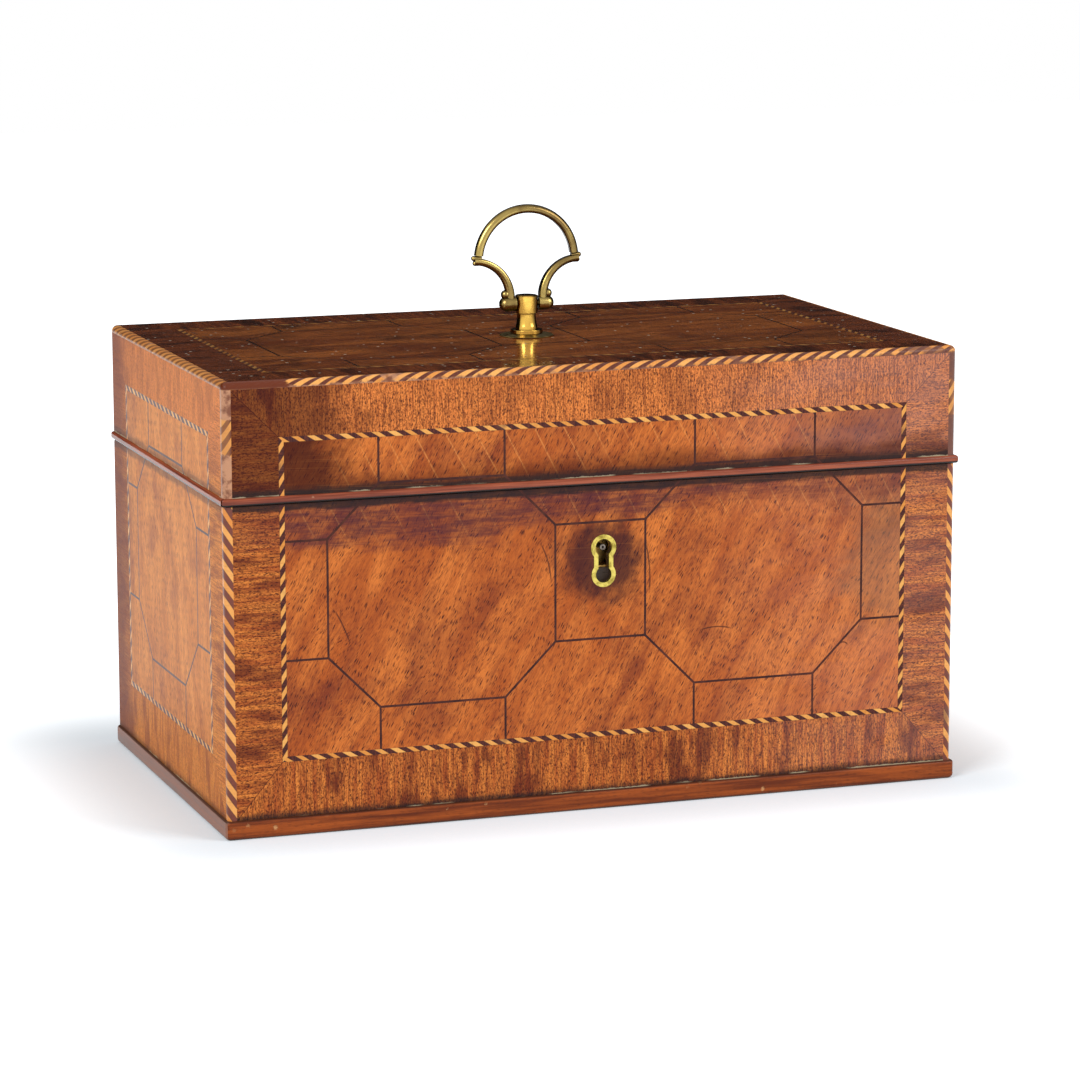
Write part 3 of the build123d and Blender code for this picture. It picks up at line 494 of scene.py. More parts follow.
def build_arc_scratch():
    """One thin curved scratch: part of a circle near a middle point."""
    group, start, end = new_group(
        "Arc scratch", {"Vector": "Vector", "Centre": "Vector", "Middle": "Vector",
                        "Reach": "Float"}, ["Mark"])
    radius = gap(group, start["Centre"], start["Middle"])
    off = less(group, gap(group, start["Vector"], start["Centre"]), radius)
    line = ease(group, reckon(group, "ABSOLUTE", off), 0.00042, 0.00012)
    near = gap(group, start["Vector"], start["Middle"])
    ended = ease(group, reckon(group, "DIVIDE", near, start["Reach"]), 1.0, 0.6)
    feed(end, Mark=times(group, line, ended))
    return group


arc_scratch = build_arc_scratch()
FRONT_SCRATCHES = (                     # centre and middle of each arc, and its reach
    ((0.0480, -0.087, 0.0460), (0.0482, -0.087, 0.0692), 0.0075),
    ((-0.0560, -0.087, 0.0900), (-0.0215, -0.087, 0.0995), 0.0090),
    ((-0.0400, -0.087, 0.0900), (0.0203, -0.087, 0.0945), 0.0110),
    ((-0.1700, -0.087, 0.0500), (-0.1040, -0.087, 0.0800), 0.0080),
    ((0.1024, -0.087, 0.0570), (0.1024, -0.087, 0.0592), 0.0028),
)


def uneven(tree, sockets, point, patches, *hollows):
    """The slow waves of hand-laid veneer, with its pores and scratches let in."""
    rise = times(tree, cloud(tree, point, patches, 1.0), 2.0)
    for hollow in hollows:
        rise = less(tree, rise, hollow)
    raise_surface(tree, sockets, rise, 0.00006)


def leaf_finish(name, turn, vein_turn, bright, mid, dark, roughness, specular=0.10,
                veins=0.0, scratches=(), pore=LEAF_PORE, **dirt_and_painted_light):
    """Polished veneer of one face: broad bands, fine fibres, pores and dirt."""
    material, tree, sockets = new_material(name, roughness, specular)
    point = where(tree)

    def patches(size, *character):
        return cloud(tree, lay(tree, point, turn, size), 1.0, *character)

    along = lay(tree, point, turn)
    grain = use(tree, wood_grain, Vector=along, Streak=(0.045, 0.0024, 0.0024),
                Pore=(0.0042, 0.00064, 0.00064), Share=0.54, Waver=0.010)
    fine = use(tree, wood_grain, Vector=along, Streak=(0.010, 0.0007, 0.0007),
               Pore=(0.0030, 0.00048, 0.00048), Share=0.74, Waver=0.004)
    bands = patches((0.070, 0.017, 0.017), 3.0, 0.58, 1.5)
    wide = patches((0.050, 0.028, 0.028), 4.0, 0.6, 0.6)
    mottle = patches((0.0042, 0.0026, 0.0026), 4.0, 0.68, 0.5)
    clouds = cloud(tree, point, 26.0, 4.0, 0.62)
    colour = glaze(tree, ease(tree, bands, 0.32, 0.66), mid, bright)
    for mask in (ease(tree, wide, 0.50, 0.72, 0.0, 0.55),
                 ease(tree, grain["Streaks"], 0.46, 0.74, 0.0, 0.38),
                 ease(tree, clouds, 0.52, 0.74, 0.0, 0.70),
                 ease(tree, fine["Streaks"], 0.55, 0.38, 0.0, 0.20),
                 ease(tree, mottle, 0.50, 0.72, 0.0, 0.34)):
        colour = glaze(tree, mask, colour, dark)
    colour = glaze(tree, ease(tree, mottle, 0.46, 0.30, 0.0, 0.20), colour, bright)
    if veins:
        wave = place(tree, "TexWave", {
            "Vector": lay(tree, point, vein_turn, (0.030, 0.0105, 0.0105)), "Scale": 0.314,
            "Distortion": 1.1, "Detail": 1.0, "Detail Scale": 1.1}, bands_direction="Z")
        upper = times(tree, ease(tree, split(tree, point)["Z"], 0.106, 0.120), veins)
        upper = times(tree, upper, ease(tree, clouds, 0.34, 0.56))
        shine = ease(tree, wave.outputs[1], 0.985, 0.9995)
        colour = glaze(tree, times(tree, shine, upper), colour, VEIN)
    specks = times(tree, fine["Speckle"], times(tree, clouds, 0.9))
    colour = glaze(tree, specks, colour, dark)
    clustered = ease(tree, wide, 0.36, 0.58, 0.35, 0.95)
    colour = glaze(tree, times(tree, fine["Pores"], clustered), colour, pore)
    colour = glaze(tree, times(tree, grain["Pores"], 0.92), colour, pore)
    colour = soiled_with_painted_light(tree, point, colour, **dirt_and_painted_light)
    hairs = cloud(tree, lay(tree, point, (0, 0.03, 0), (0.050, 0.002, 0.00030)), detail=1.0)
    hairs = times(tree, ease(tree, hairs, 0.68, 0.74, 0.0, 0.20), clouds)
    colour = glaze(tree, hairs, colour, VEIN)
    marks = use(tree, scuffs, Vector=point, Amount=0.05)["Scratches"]
    for centre, middle, reach in scratches:
        arc = use(tree, arc_scratch, Vector=point, Centre=centre, Middle=middle, Reach=reach)
        marks = either(tree, marks, arc["Mark"])
    feed(sockets, Base_Color=glaze(tree, times(tree, marks, 0.75), colour, SCRATCH))
    uneven(tree, sockets, point, 28.0, grain["Pores"], marks)
    return material


FRONT_TURN = (0, -math.radians(62), 0)
FRONT_VEINS = (0, math.radians(62), 0)
END_TURN = (0, -math.radians(84), math.radians(90))
front_leaf = leaf_finish("Panel veneer of the front", FRONT_TURN, FRONT_VEINS, LEAF_BRIGHT,
                         LEAF_MID, LEAF_DARK, 0.36, veins=0.50, scratches=FRONT_SCRATCHES,
                         Bloom=0.09, Olive=0.30, Stain=0.62, Soot=0.88, Halo=0.85,
                         Grime=0.85, Dust=0.7)
# painted light: the ends' veneer is given paler, more orange woods than the front's, for the light
# the ends catch
lit_end_leaf = leaf_finish("Panel veneer of the ends", END_TURN, END_TURN, "#f09a48",
                       "#d88236", "#a0522a", 0.38, 0.05, pore="#7a3c26", Shade=0.60,
                       Grime=0.5, Dust=0.8)
dress(front_leaf, "case_front_panels", "lid_front_panels")
dress(lit_end_leaf, "case_end_panels", "lid_end_panels")

# Crossbanding: strips of veneer cut across the grain, mitred at the corners of each
# face, so that the short dark flecks of the wood run in from the edge.

BAND_BRIGHT = "#e2863c"
BAND_MID = "#b45c2a"
BAND_DARK = "#5c2016"
BAND_FLECK = "#351114"
BAND_RUBBED = "#f08c46"
BAND_FLECK_SIZE = (0.0018, 0.00062, 0.0006)
FIELD_SIDE, FIELD_DEPTH = 0.1285, 0.0655            # from the middle to the rope strings
FIELD_FOOT, FIELD_HEAD = 0.0289, 0.1540
X, Y, Z = Vector((1, 0, 0)), Vector((0, 1, 0)), Vector((0, 0, 1))
FACES = {                               # right, up, outer edges and field inside the band
    "front": (X, Z, (-0.1467, PLINTH_TOP, 0.1467, 0.1727),
              (-FIELD_SIDE, FIELD_FOOT, FIELD_SIDE, FIELD_HEAD)),
    "right": (Y, Z, (-0.0837, PLINTH_TOP, 0.0870, 0.1727),
              (-FIELD_DEPTH, FIELD_FOOT, FIELD_DEPTH, FIELD_HEAD)),
    "left": (-Y, Z, (-0.0870, PLINTH_TOP, 0.0837, 0.1727),
             (-FIELD_DEPTH, FIELD_FOOT, FIELD_DEPTH, FIELD_HEAD)),
    "top": (X, Y, (-0.1472, -0.0842, 0.1472, 0.0870),
            (-FIELD_SIDE, -FIELD_DEPTH, FIELD_SIDE, FIELD_DEPTH)),
}


def strip_at(across, up, outer, inner):
    """Which of a frame's four mitred strips holds a point of its face."""
    reach = {
        "left": (inner[0] - across) / (inner[0] - outer[0]),
        "foot": (inner[1] - up) / (inner[1] - outer[1]),
        "right": (across - inner[2]) / (outer[2] - inner[2]),
        "head": (up - inner[3]) / (outer[3] - inner[3]),
    }
    return max(reach, key=reach.get)


def face_at(point, face):
    """The face of the caddy that a piece lies on."""
    if face == "end":
        return "right" if point.x > 0 else "left"
    return face


def unfolded(node, name, body, slot, material, grain_of):
    """A copy of a node, merged piece by piece, that carries a flat map of its grain."""
    shape = bmesh.new()
    shape.from_mesh(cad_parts[node].data)
    grain = shape.loops.layers.uv.new("grain")
    for face in shape.faces:
        _, along, across, origin = grain_of(face.calc_center_median() - face.normal * INSIDE)
        for loop in face.loops:
            place_on = loop.vert.co - origin
            loop[grain].uv = (place_on.dot(along), place_on.dot(across))
    merge_parts(shape, lambda point: grain_of(point)[0])
    return stands_in(shape, name, body, slot, material, node)


def grain_map(tree):
    """The flat map that unfolded pieces carry."""
    return place(tree, "UVMap", uv_map="grain").outputs[0]


def band_grain(face):
    """The grain of a banding strip runs in from the edge that it lies along."""
    def grain_of(point):
        own = face_at(point, face)
        right, up, outer, inner = FACES[own]
        strip = strip_at(point.dot(right), point.dot(up), outer, inner)
        shift = X * (0.37 * len(own) + 0.11 * len(strip))     # other flecks on other strips
        if strip in ("left", "right"):
            return own + strip, right, up, shift
        return own + strip, up, right, shift
    return grain_of


def band_finish(name, bright, mid, dark, flecks, roughness, specular=0.10, rub=0.0,
                rub_from=-0.118, **dirt_and_painted_light):
    """Polished crossbanding: dark and bright streaks and dense flecks across the strip."""
    material, tree, sockets = new_material(name, roughness, specular)
    flat, point = grain_map(tree), where(tree)
    parts = split(tree, point)
    grain = use(tree, wood_grain, Vector=flat, Streak=(0.030, 0.0026, 0.003),
                Pore=BAND_FLECK_SIZE, Share=0.85, Waver=0.002)
    fine = use(tree, wood_grain, Vector=flat, Streak=(0.014, 0.0007, 0.001),
               Pore=(0.0010, 0.00070, 0.0005), Share=0.80, Waver=0.001)
    patches = cloud(tree, lay(tree, flat, size=(0.030, 0.010, 0.01)), 1.0, 3.0, 0.6)
    colour = glaze(tree, ease(tree, grain["Streaks"], 0.34, 0.66), mid, bright)
    rubbed = times(tree, ease(tree, parts["Z"], 0.1310, 0.1500, 0.0, rub),
                   ease(tree, parts["X"], rub_from - 0.014, rub_from))
    colour = glaze(tree, rubbed, colour, BAND_RUBBED)
    spared = reckon(tree, "MULTIPLY_ADD", rubbed, -0.9, 1.0)
    patchy = times(tree, ease(tree, patches, 0.48, 0.64, 0.0, 0.75), spared)
    for mask in (patchy, ease(tree, fine["Streaks"], 0.55, 0.36, 0.0, 0.60),
                 times(tree, fine["Speckle"], flecks * 0.70)):
        colour = glaze(tree, mask, colour, dark)
    flecked = either(tree, grain["Pores"], times(tree, fine["Pores"], 0.7))
    for mask in (times(tree, grain["Speckle"], flecks * 0.65), times(tree, flecked, flecks)):
        colour = glaze(tree, mask, colour, BAND_FLECK)
    out = less(tree, reckon(tree, "ABSOLUTE", parts["X"]), FIELD_SIDE)
    upper = less(tree, parts["Z"], FIELD_HEAD)
    lower = times(tree, less(tree, FIELD_FOOT, parts["Z"]), 0.85)
    off = reckon(tree, "ABSOLUTE", less(tree, either(tree, upper, lower), out))
    mitre = ease(tree, off, 0.00030, 0.00010, 0.0, 0.75)
    colour = glaze(tree, mitre, colour, BAND_FLECK)
    feed(sockets, Base_Color=soiled_with_painted_light(tree, point, colour, **dirt_and_painted_light))
    uneven(tree, sockets, point, 30.0, grain["Pores"])
    return material


front_band = band_finish("Crossbanding of the front", BAND_BRIGHT, BAND_MID, BAND_DARK, 0.92,
                         0.36, rub=0.66, Bloom=0.10, Stain=0.22, Soot=0.70, Grime=0.85,
                         Dust=0.8)
# painted light: the ends' banding is given paler woods than the front's, for the light the ends
# catch
lit_end_band = band_finish("Crossbanding of the ends", "#e8923e", "#d07830", "#9a5026", 0.40, 0.38,
                       0.03, rub=0.6, rub_from=-1.0, Shade=0.75, Grime=0.5, Dust=0.8)
for face, material in (("front", front_band), ("end", lit_end_band)):
    for body in ("case", "lid"):
        unfolded(f"{body}_{face}_banding", f"{face}_crossbanding_of_{body}", body,
                 "crossbanding", material, band_grain(face))

# Back of case and lid: one plain leaf of straight-grained mahogany, polished once
# and then left against a wall, so that it is darker and duller than the front.

back_leaf = leaf_finish("Plain veneer of the back", GRAIN_ALONG_X, GRAIN_ALONG_X, "#9a5a34",
                        "#804527", "#5c3020", 0.48, 0.30, Grime=0.5, Dust=0.5)
dress(back_leaf, "case_back_veneer", "lid_back_veneer")

# Dark lines: strips of blackened holly a millimetre wide, let into the veneer on
# edge and scraped flush. Old polish gives them a brown cast.

TOP_FACE = (0.1740, 0.1745)             # a line above both heights lies on the top
LINE_BLACK = "#341a19"
LINE_WORN = "#5a2f24"
LINE_PAINTED_SHADE_ON_TOP = "#140a08"


def line_finish():
    """Blackened wood, rubbed brown in places, with painted shade that makes it darkest on the top
    of the lid.
    """
    material, tree, sockets = new_material("Dark line", 0.34, 0.12)
    point = where(tree)
    worn = ease(tree, cloud(tree, point, 160.0, 3.0), 0.35, 0.75)
    # painted shade: near black on the top of the lid
    painted_shade_on_top = ease(tree, split(tree, point)["Z"], *TOP_FACE)
    colour = glaze(tree, painted_shade_on_top, glaze(tree, worn, LINE_BLACK, LINE_WORN), LINE_PAINTED_SHADE_ON_TOP)
    feed(sockets, Base_Color=colour)
    raise_surface(tree, sockets, cloud(tree, point, 900.0), 0.00003)
    return material


dress(line_finish(), "case_dark_stringing", "lid_dark_stringing")

# Rope strings: narrow strips sawn from a sandwich of light and dark wood, so that
# slanted chips of the two follow each other. They frame every face.

CHIP_LIGHT = "#dd8f42"
CHIP_PALE = "#f0b060"
CHIP_FIBRE = "#b06a34"
CHIP_DARK = "#3c1d1e"
CHIP_BROWN = "#6b3628"
CHIP_SEAM = "#38201a"
STRING_SOILED = "#6a4534"
STRING_PAINTED_SHADE_ON_TOP = "#2c130a"
STRING_GLUE = "#3a211b"
ROPE_WIDTH = 0.0021
FRONT_FACE = -0.0861                    # a string that lies before this is a front one


def build_twisted_string():
    """Slanted light chips along a string, with a dark seam round each."""
    group, start, end = new_group(
        "Twisted string", {"Vector": "Vector", "Pitch": "Float", "Slant": "Float",
                           "Share": "Float"}, ["Light", "Seam", "Chip"])
    parts = split(group, start["Vector"])
    along = reckon(group, "MULTIPLY_ADD", parts["Y"], start["Slant"], parts["X"])
    along = moved(group, along, cloud(group, start["Vector"], 70.0, 1.0), 0.0016)
    turns = reckon(group, "DIVIDE", along, start["Pitch"])
    number = reckon(group, "FLOOR", turns)
    phase = reckon(group, "FRACT", turns)
    chance = place(group, "TexWhiteNoise", {"W": number}, noise_dimensions="1D").outputs[0]
    share = moved(group, start["Share"], less(group, chance, 0.5), 0.10)
    inner = reckon(group, "MINIMUM", phase, less(group, share, phase))
    outer = reckon(group, "MINIMUM", reckon(group, "ABSOLUTE", inner), less(group, 1.0, phase))
    feed(end, Light=ease(group, inner, -0.015, 0.015), Seam=ease(group, outer, 0.05, 0.01),
         Chip=chance)
    return group


twisted_string = build_twisted_string()


def string_finish(name, pitch, slant, share, light, pale, dark, width, specular=0.12):
    """Light and dark chips, dulled here and there, with dark glue lines at the sides and painted
    shade on the lid's top.
    """
    material, tree, sockets = new_material(name, 0.32, specular)
    flat = grain_map(tree)
    chips = use(tree, twisted_string, Vector=flat, Pitch=pitch, Slant=slant, Share=share)
    fibres = cloud(tree, lay(tree, flat, size=(0.0008, 0.004, 0.004)), detail=3.0)
    light_wood = glaze(tree, chips["Chip"], light, pale)
    light_wood = glaze(tree, ease(tree, fibres, 0.45, 0.75, 0.0, 0.35), light_wood, CHIP_FIBRE)
    dark_wood = glaze(tree, ease(tree, fibres, 0.35, 0.8), dark, CHIP_BROWN)
    colour = glaze(tree, chips["Light"], dark_wood, light_wood)
    colour = glaze(tree, times(tree, chips["Seam"], 0.5), colour, CHIP_SEAM)
    patches = ease(tree, cloud(tree, flat, 60.0, 3.0), 0.60, 0.70, 0.0, 0.65)
    colour = glaze(tree, patches, colour, STRING_SOILED)
    if width:
        # painted shade: the strings go dark on the top of the lid
        painted_shade_on_top = ease(tree, split(tree, where(tree))["Z"], *TOP_FACE, 0.0, 0.55)
        colour = glaze(tree, painted_shade_on_top, colour, STRING_PAINTED_SHADE_ON_TOP)
        side = reckon(tree, "ABSOLUTE", less(tree, split(tree, flat)["Y"], width / 2))
        glued = ease(tree, side, width * 0.42, width * 0.49, 0.0, 0.6)
        colour = glaze(tree, glued, colour, STRING_GLUE)
    feed(sockets, Base_Color=colour)
    raise_surface(tree, sockets, less(tree, fibres, chips["Seam"]), 0.00004)
    return material


def rope_grain(point):
    """Along each string of a frame, and across it from its lower or right-hand side."""
    lying = "top" if point.z > TOP_FACE[1] else "front" if point.y < FRONT_FACE else "end"
    own = face_at(point, lying)
    right, up, _, outer = FACES[own]
    inner = tuple(edge + ROPE_WIDTH * side for edge, side in zip(outer, (1, 1, -1, -1)))
    strip = strip_at(point.dot(right), point.dot(up), outer, inner)
    if strip == "left":
        return own + strip, up, -right, right * inner[0]
    if strip == "right":
        return own + strip, up, -right, right * outer[2]
    level = outer[1] if strip == "foot" else inner[3]
    return own + strip, right, up, up * level


rope = string_finish("Rope string", 0.0063, 1.55, 0.48, CHIP_LIGHT, CHIP_PALE, CHIP_DARK,
                     ROPE_WIDTH)
unfolded("case_rope_stringing", "rope_strings_of_case", "case", "rope_string", rope,
         rope_grain)

# Corner strings: thicker striped strings let into the front corners and round the
# top edge of the lid, then rounded over, so that each chip wraps round the edge.

LID_TOP = 0.1755
CORNER = Vector((0.150, -0.087, LID_TOP))


def corner_grain(point):
    """Up the corner, and round it from left to right."""
    side = 1 if point.x > 0 else -1
    origin = Vector((side * CORNER.x, CORNER.y, 0))
    return str(side), Z, X * 1.1 + Y * (0.2 * side), origin


corner_string = string_finish("Corner string", 0.0070, 1.35, 0.50, "#de8a3e", "#eea85a",
                              "#753a2c", None, 0.30)
unfolded("case_corner_stringing", "corner_strings_of_case", "case", "rope_string",
         corner_string, corner_grain)

# Escutcheon: a narrow brass band bent to the keyhole's outline and hammered into the
# wood, now proud by a hair and dull from years of polish with the wood round it.

PIT = "#2c2418"
PAINTED_DARK_REFLECTION = "#20170a"


def build_tarnish():
    """Dull patches and fine pits of old brass."""
    group, start, end = new_group("Tarnish", {"Vector": "Vector", "Size": "Float"},
                                  ["Patches", "Pits"])
    scaled = place(group, "VectorMath", {0: start["Vector"], 3: start["Size"]},
                   operation="SCALE").outputs[0]
    feed(end, Patches=cloud(group, scaled, 1.0, 5.0, 0.65, 0.4),
         Pits=ease(group, cloud(group, scaled, 9.0, 3.0, 0.7), 0.62, 0.72))
    return group


tarnish = build_tarnish()


def metal_finish(name, bright, dull, size, rough, covered=(0.35, 0.70), relief=0.00002,
                 pitted=0.6, pit=PIT, outline=0.0):
    """Old metal: bright where it is rubbed, dull and darker elsewhere, with a painted dark
    reflection on the edges turned from the camera.
    """
    smooth, coarse = rough
    material, tree, sockets = new_material(name, smooth, metallic=1.0)
    age = use(tree, tarnish, Vector=where(tree), Size=size)
    cover = ease(tree, age["Patches"], *covered)
    colour = glaze(tree, cover, bright, dull)
    colour = glaze(tree, times(tree, age["Pits"], pitted), colour, pit)
    # painted reflection: the outline share darkens the edges that turn away from the camera
    turned_from_view = place(tree, "LayerWeight", {"Blend": 0.5}).outputs["Facing"]
    colour = glaze(tree, ease(tree, turned_from_view, 0.02, 0.50, 0.0, outline), colour, PAINTED_DARK_REFLECTION)
    feed(sockets, Base_Color=colour,
         Roughness=reckon(tree, "MULTIPLY_ADD", cover, coarse - smooth, smooth))
    raise_surface(tree, sockets, less(tree, age["Patches"], age["Pits"]), relief)
    return material


dress(metal_finish("Escutcheon brass", "#c6b25a", "#83722f", 420.0, (0.30, 0.50)),
      "escutcheon")

# Lock: back plate with its selvedge, cap, bolt and spring, screwed into a recess of
# the front board. Plate and cap are brass; bolt, pin, spring and screws are iron.

lock_brass = metal_finish("Lock brass", "#c39a55", "#7c6036", 160.0, (0.30, 0.50))
iron = metal_finish("Dull iron", "#8a8178", "#4f4640", 200.0, (0.38, 0.60))
dress(lock_brass, "lock_plate", "lock_cap")
dress(iron, "lock_key_pin", "lock_bolt", "lock_bolt_spring", "lock_screws")

# Compartments: two partitions let in between front and back, and mitred ledges that
# carry the inner lids. Thin mahogany, waxed and rubbed by lids and spoons.

inner_across = board_wood("Inner mahogany along Y", GRAIN_ALONG_Y, "#8f5433", "#6b3a22", 0.45)
dress(inner_across, "partition_right", "partition_left", "compartment_ledges")

# Inner lids: a flat lift-out board over each tea compartment, with a small turned
# knob of boxwood pegged through its middle.

BOXWOOD_PALE = "#e3c88e"
BOXWOOD_MID = "#c9a566"


def boxwood_finish():
    """Polished boxwood with its fine upright grain."""
    material, tree, sockets = new_material("Boxwood knob", 0.30)
    rings = cloud(tree, lay(tree, where(tree), size=(0.0012, 0.0012, 0.012)), detail=3.0)
    colour = glaze(tree, ease(tree, rings, 0.3, 0.7), BOXWOOD_MID, BOXWOOD_PALE)
    feed(sockets, Base_Color=colour)
    raise_surface(tree, sockets, rings, 0.00003)
    return material


dress(inner_across, "inner_lid_right", "inner_lid_left")
boxwood = boxwood_finish()
for side in ("right", "left"):
    smoothed("inner_knob_" + side, "boxwood_knob_" + side, "inner_lid_" + side, "knob_wood",
             boxwood)

# Hinges: two brass butts let into the back edges of case and lid, each turning on an
# iron pin and held by countersunk screws.

dress(lock_brass, "hinge_case_leaves", "hinge_lid_leaves")
dress(iron, "hinge_pins", "hinge_case_screws", "hinge_lid_screws")

# Lid: front, back, ends and top of the same plain mahogany as the case, sawn off it
# in one piece after the box was glued up, with rope strings on four faces.

dress(board_along, "lid_front_board", "lid_back_board", "lid_top_board")
dress(board_across, "lid_right_board", "lid_left_board")
unfolded("lid_rope_stringing", "rope_strings_of_lid", "lid", "rope_string", rope,
         rope_grain)

# Top of the lid: the same drawing of panels, banding and strings as the front, under a
# thick glossy polish, coloured nearly black-brown: partly darker wood, partly painted shade.

TOP_TURN = (-math.radians(90), 0, math.radians(6))
top_leaf_with_painted_shade = leaf_finish("Panel veneer of the top", TOP_TURN, TOP_TURN, "#b2652e", "#7b3c1d",
                       "#2e120c", 0.12, 0.5, pore="#1c0b08", Specks=0.9)
top_band_with_painted_shade = band_finish("Crossbanding of the top", "#964e26", "#642f19", "#260f0a", 0.7, 0.12,
                       0.5, Specks=0.9)
dress(top_leaf_with_painted_shade, "lid_top_panels")
unfolded("lid_top_banding", "top_crossbanding_of_lid", "lid", "crossbanding", top_band_with_painted_shade,
         band_grain("top"))

# Edge strings of the lid: the front corners carry on upwards, and a striped string
# runs along the front and both ends of the top, mitred at the corners.

EDGE_STRING = 0.0028
KEPT_STRIPES = (0.1505, 0.1650)
FILLER_LEFT = "#c08a68"
FILLER_RIGHT = "#6b4338"
FILLER_DARK = "#7c4a34"
END_FADED = "#b87a48"
BARE_WOOD = "#64290f"


def edge_grain(point):
    """Along the top edge that a string lies on, and over it; or up the corner."""
    inset_side = CORNER.x - abs(point.x)
    inset_front = point.y - CORNER.y
    if point.z < CORNER.z - EDGE_STRING:
        return corner_grain(point)
    origin = Vector(CORNER)
    if inset_front < inset_side:
        return "head front", X, Z + Y, origin
    side = 1 if point.x > 0 else -1
    origin.x *= side
    return "head" + str(side), Y * side, Z - X * side, origin


def lid_edge_finish():
    """Striped string of the lid, mostly made good with filler down its front corners."""
    material = string_finish("Edge string of the lid", 0.0064, -1.35, 0.56, "#dd8e42",
                             "#f2ad5e", "#5a2a1e", None, 0.25)
    tree = material.node_tree
    sockets = tree.nodes["Principled BSDF"].inputs
    striped = sockets["Base Color"].links[0].from_socket
    point = where(tree)
    parts = split(tree, point)
    lumps = cloud(tree, point, 220.0, 4.0, 0.65)

    # Filler in the corners below the top string, but for one length that has kept its stripes
    height = moved(tree, parts["Z"], lumps, 0.0060)
    below = ease(tree, height, CORNER.z + 0.0012, CORNER.z)
    low, high = KEPT_STRIPES
    kept = times(tree, ease(tree, height, low, low + 0.0010),
                 ease(tree, height, high, high - 0.0010))
    filled = times(tree, below, less(tree, 1.0, kept))
    worn = cloud(tree, lay(tree, point, size=(0.030, 0.02, 0.02)), 1.0, 3.0, 0.7)
    filled = either(tree, filled, ease(tree, worn, 0.62, 0.66, 0.0, 0.75))
    filler = glaze(tree, ease(tree, parts["X"], -0.10, 0.10), FILLER_LEFT, FILLER_RIGHT)
    filler = glaze(tree, ease(tree, lumps, 0.34, 0.56), FILLER_DARK, filler)

    # Faded stripes along the ends, and a length lost from the front string at the left
    outward = reckon(tree, "ABSOLUTE", parts["X"])
    faded = glaze(tree, ease(tree, outward, 0.1464, 0.1480, 0.0, 0.40), striped, END_FADED)
    front = ease(tree, parts["Y"], -0.0835, -0.0842)
    left = ease(tree, moved(tree, parts["X"], lumps, 0.010), -0.1190, -0.1215)
    lost = times(tree, times(tree, front, left), ease(tree, parts["Z"], 0.1724, 0.1730))
    mended = glaze(tree, filled, faded, filler)
    feed(sockets, Base_Color=glaze(tree, lost, mended, BARE_WOOD))
    return material


unfolded("lid_edge_stringing", "edge_strings_of_lid", "lid", "rope_string",
         lid_edge_finish(), edge_grain)

# Bead: a half-round strip of dark mahogany glued round the lower edge of the lid,
# mitred at the front corners. Wax and dust lie in the corner above it.

BEAD_DARK = "#662a1c"
BEAD_WOOD = "#a8573a"
BEAD_KNOCK = "#c59878"
BEAD_SHADOW = "#120a08"


def bead_finish():
    """Polished mahogany with a few knocks, and painted shade, black, on the underside that meets
    the case.
    """
    material, tree, sockets = new_material("Bead mahogany", 0.24, 0.24)
    point = where(tree)
    grain = use(tree, wood_grain, Vector=along_strips(tree, point),
                Streak=(0.05, 0.0015, 0.0015), Pore=(0.003, 0.0003, 0.0003), Share=0.60,
                Waver=0.001)
    knocks = use(tree, scuffs, Vector=point, Amount=0.20)["Knocks"]
    # painted shade: the underside of the bead goes black, as the shadow over the joint
    under = ease(tree, split(tree, point)["Z"], JOINT + 0.0013, JOINT + 0.0008)
    colour = glaze(tree, ease(tree, grain["Streaks"], 0.3, 0.7), BEAD_DARK, BEAD_WOOD)
    colour = glaze(tree, knocks, colour, BEAD_KNOCK)
    feed(sockets, Base_Color=glaze(tree, under, colour, BEAD_SHADOW))
    raise_surface(tree, sockets, less(tree, grain["Streaks"], knocks), 0.0001)
    return material


smoothed("lid_bead_moulding", "bead_strips", "lid", "bead_wood", bead_finish())

# Link plate: a brass plate let into the lid's front edge, with two iron staples that
# drop into the lock, where the bolt slides through their eyes.

dress(lock_brass, "link_plate")
dress(iron, "link_staples", "link_plate_screws")

# Handle: a dished rose, a turned post that goes through the lid to a square nut, and
# a swan-necked bail cast in one piece, which swings on two pegs in the post's head.

ROSE_STEPS = 96
ROSE_PROFILE = ((0.0030, 0.0002), (0.0107, 0.0001), (0.0109, 0.0003), (0.0107, 0.00045),
                (0.0103, 0.0004), (0.0095, 0.00034), (0.0085, 0.00042), (0.0076, 0.0007),
                (0.0069, 0.00097), (0.0064, 0.0010), (0.0030, 0.0010))
HEAD_RADIUS = 0.00455
BAR_RADIUS = 0.00199
BAR_SHIFT = -0.00014
BAR_REACH = math.radians(137.3)
BAR_STEPS = 20
BEND_STEPS = 56
DOME_STEPS = 8
ROUND_STEPS = 32
PIVOT = LID_TOP + 0.0130
ARM_CENTRE, ARM_RADIUS, ARM_ANGLES = Vector((0.0220, 0, LID_TOP + 0.0156)), 0.0150, (90, 188)
ARM_THIN, ARM_THICK = 0.84, 1.08
RING_CENTRE, RING_RADIUS, RING_ANGLES = Vector((0, 0, LID_TOP + 0.0308)), 0.0203, (6, 174)
RODS = (                                # radius, flat end, shoulder of the dome, height
    (0.00305, 0.00485, 0.00845, PIVOT),               # boss
    (0.00120, 0.00125, 0.00500, PIVOT),               # peg
    (0.00105, 0.0190, 0.0223, LID_TOP + 0.0319),      # upper lip
    (0.00105, 0.0190, 0.0217, LID_TOP + 0.0299),      # lower lip
)
BEAD_RADIUS, BEAD_CENTRE = 0.0019, (0.0089, 0, LID_TOP + 0.0168)
CAST_EDGE = math.radians(50)


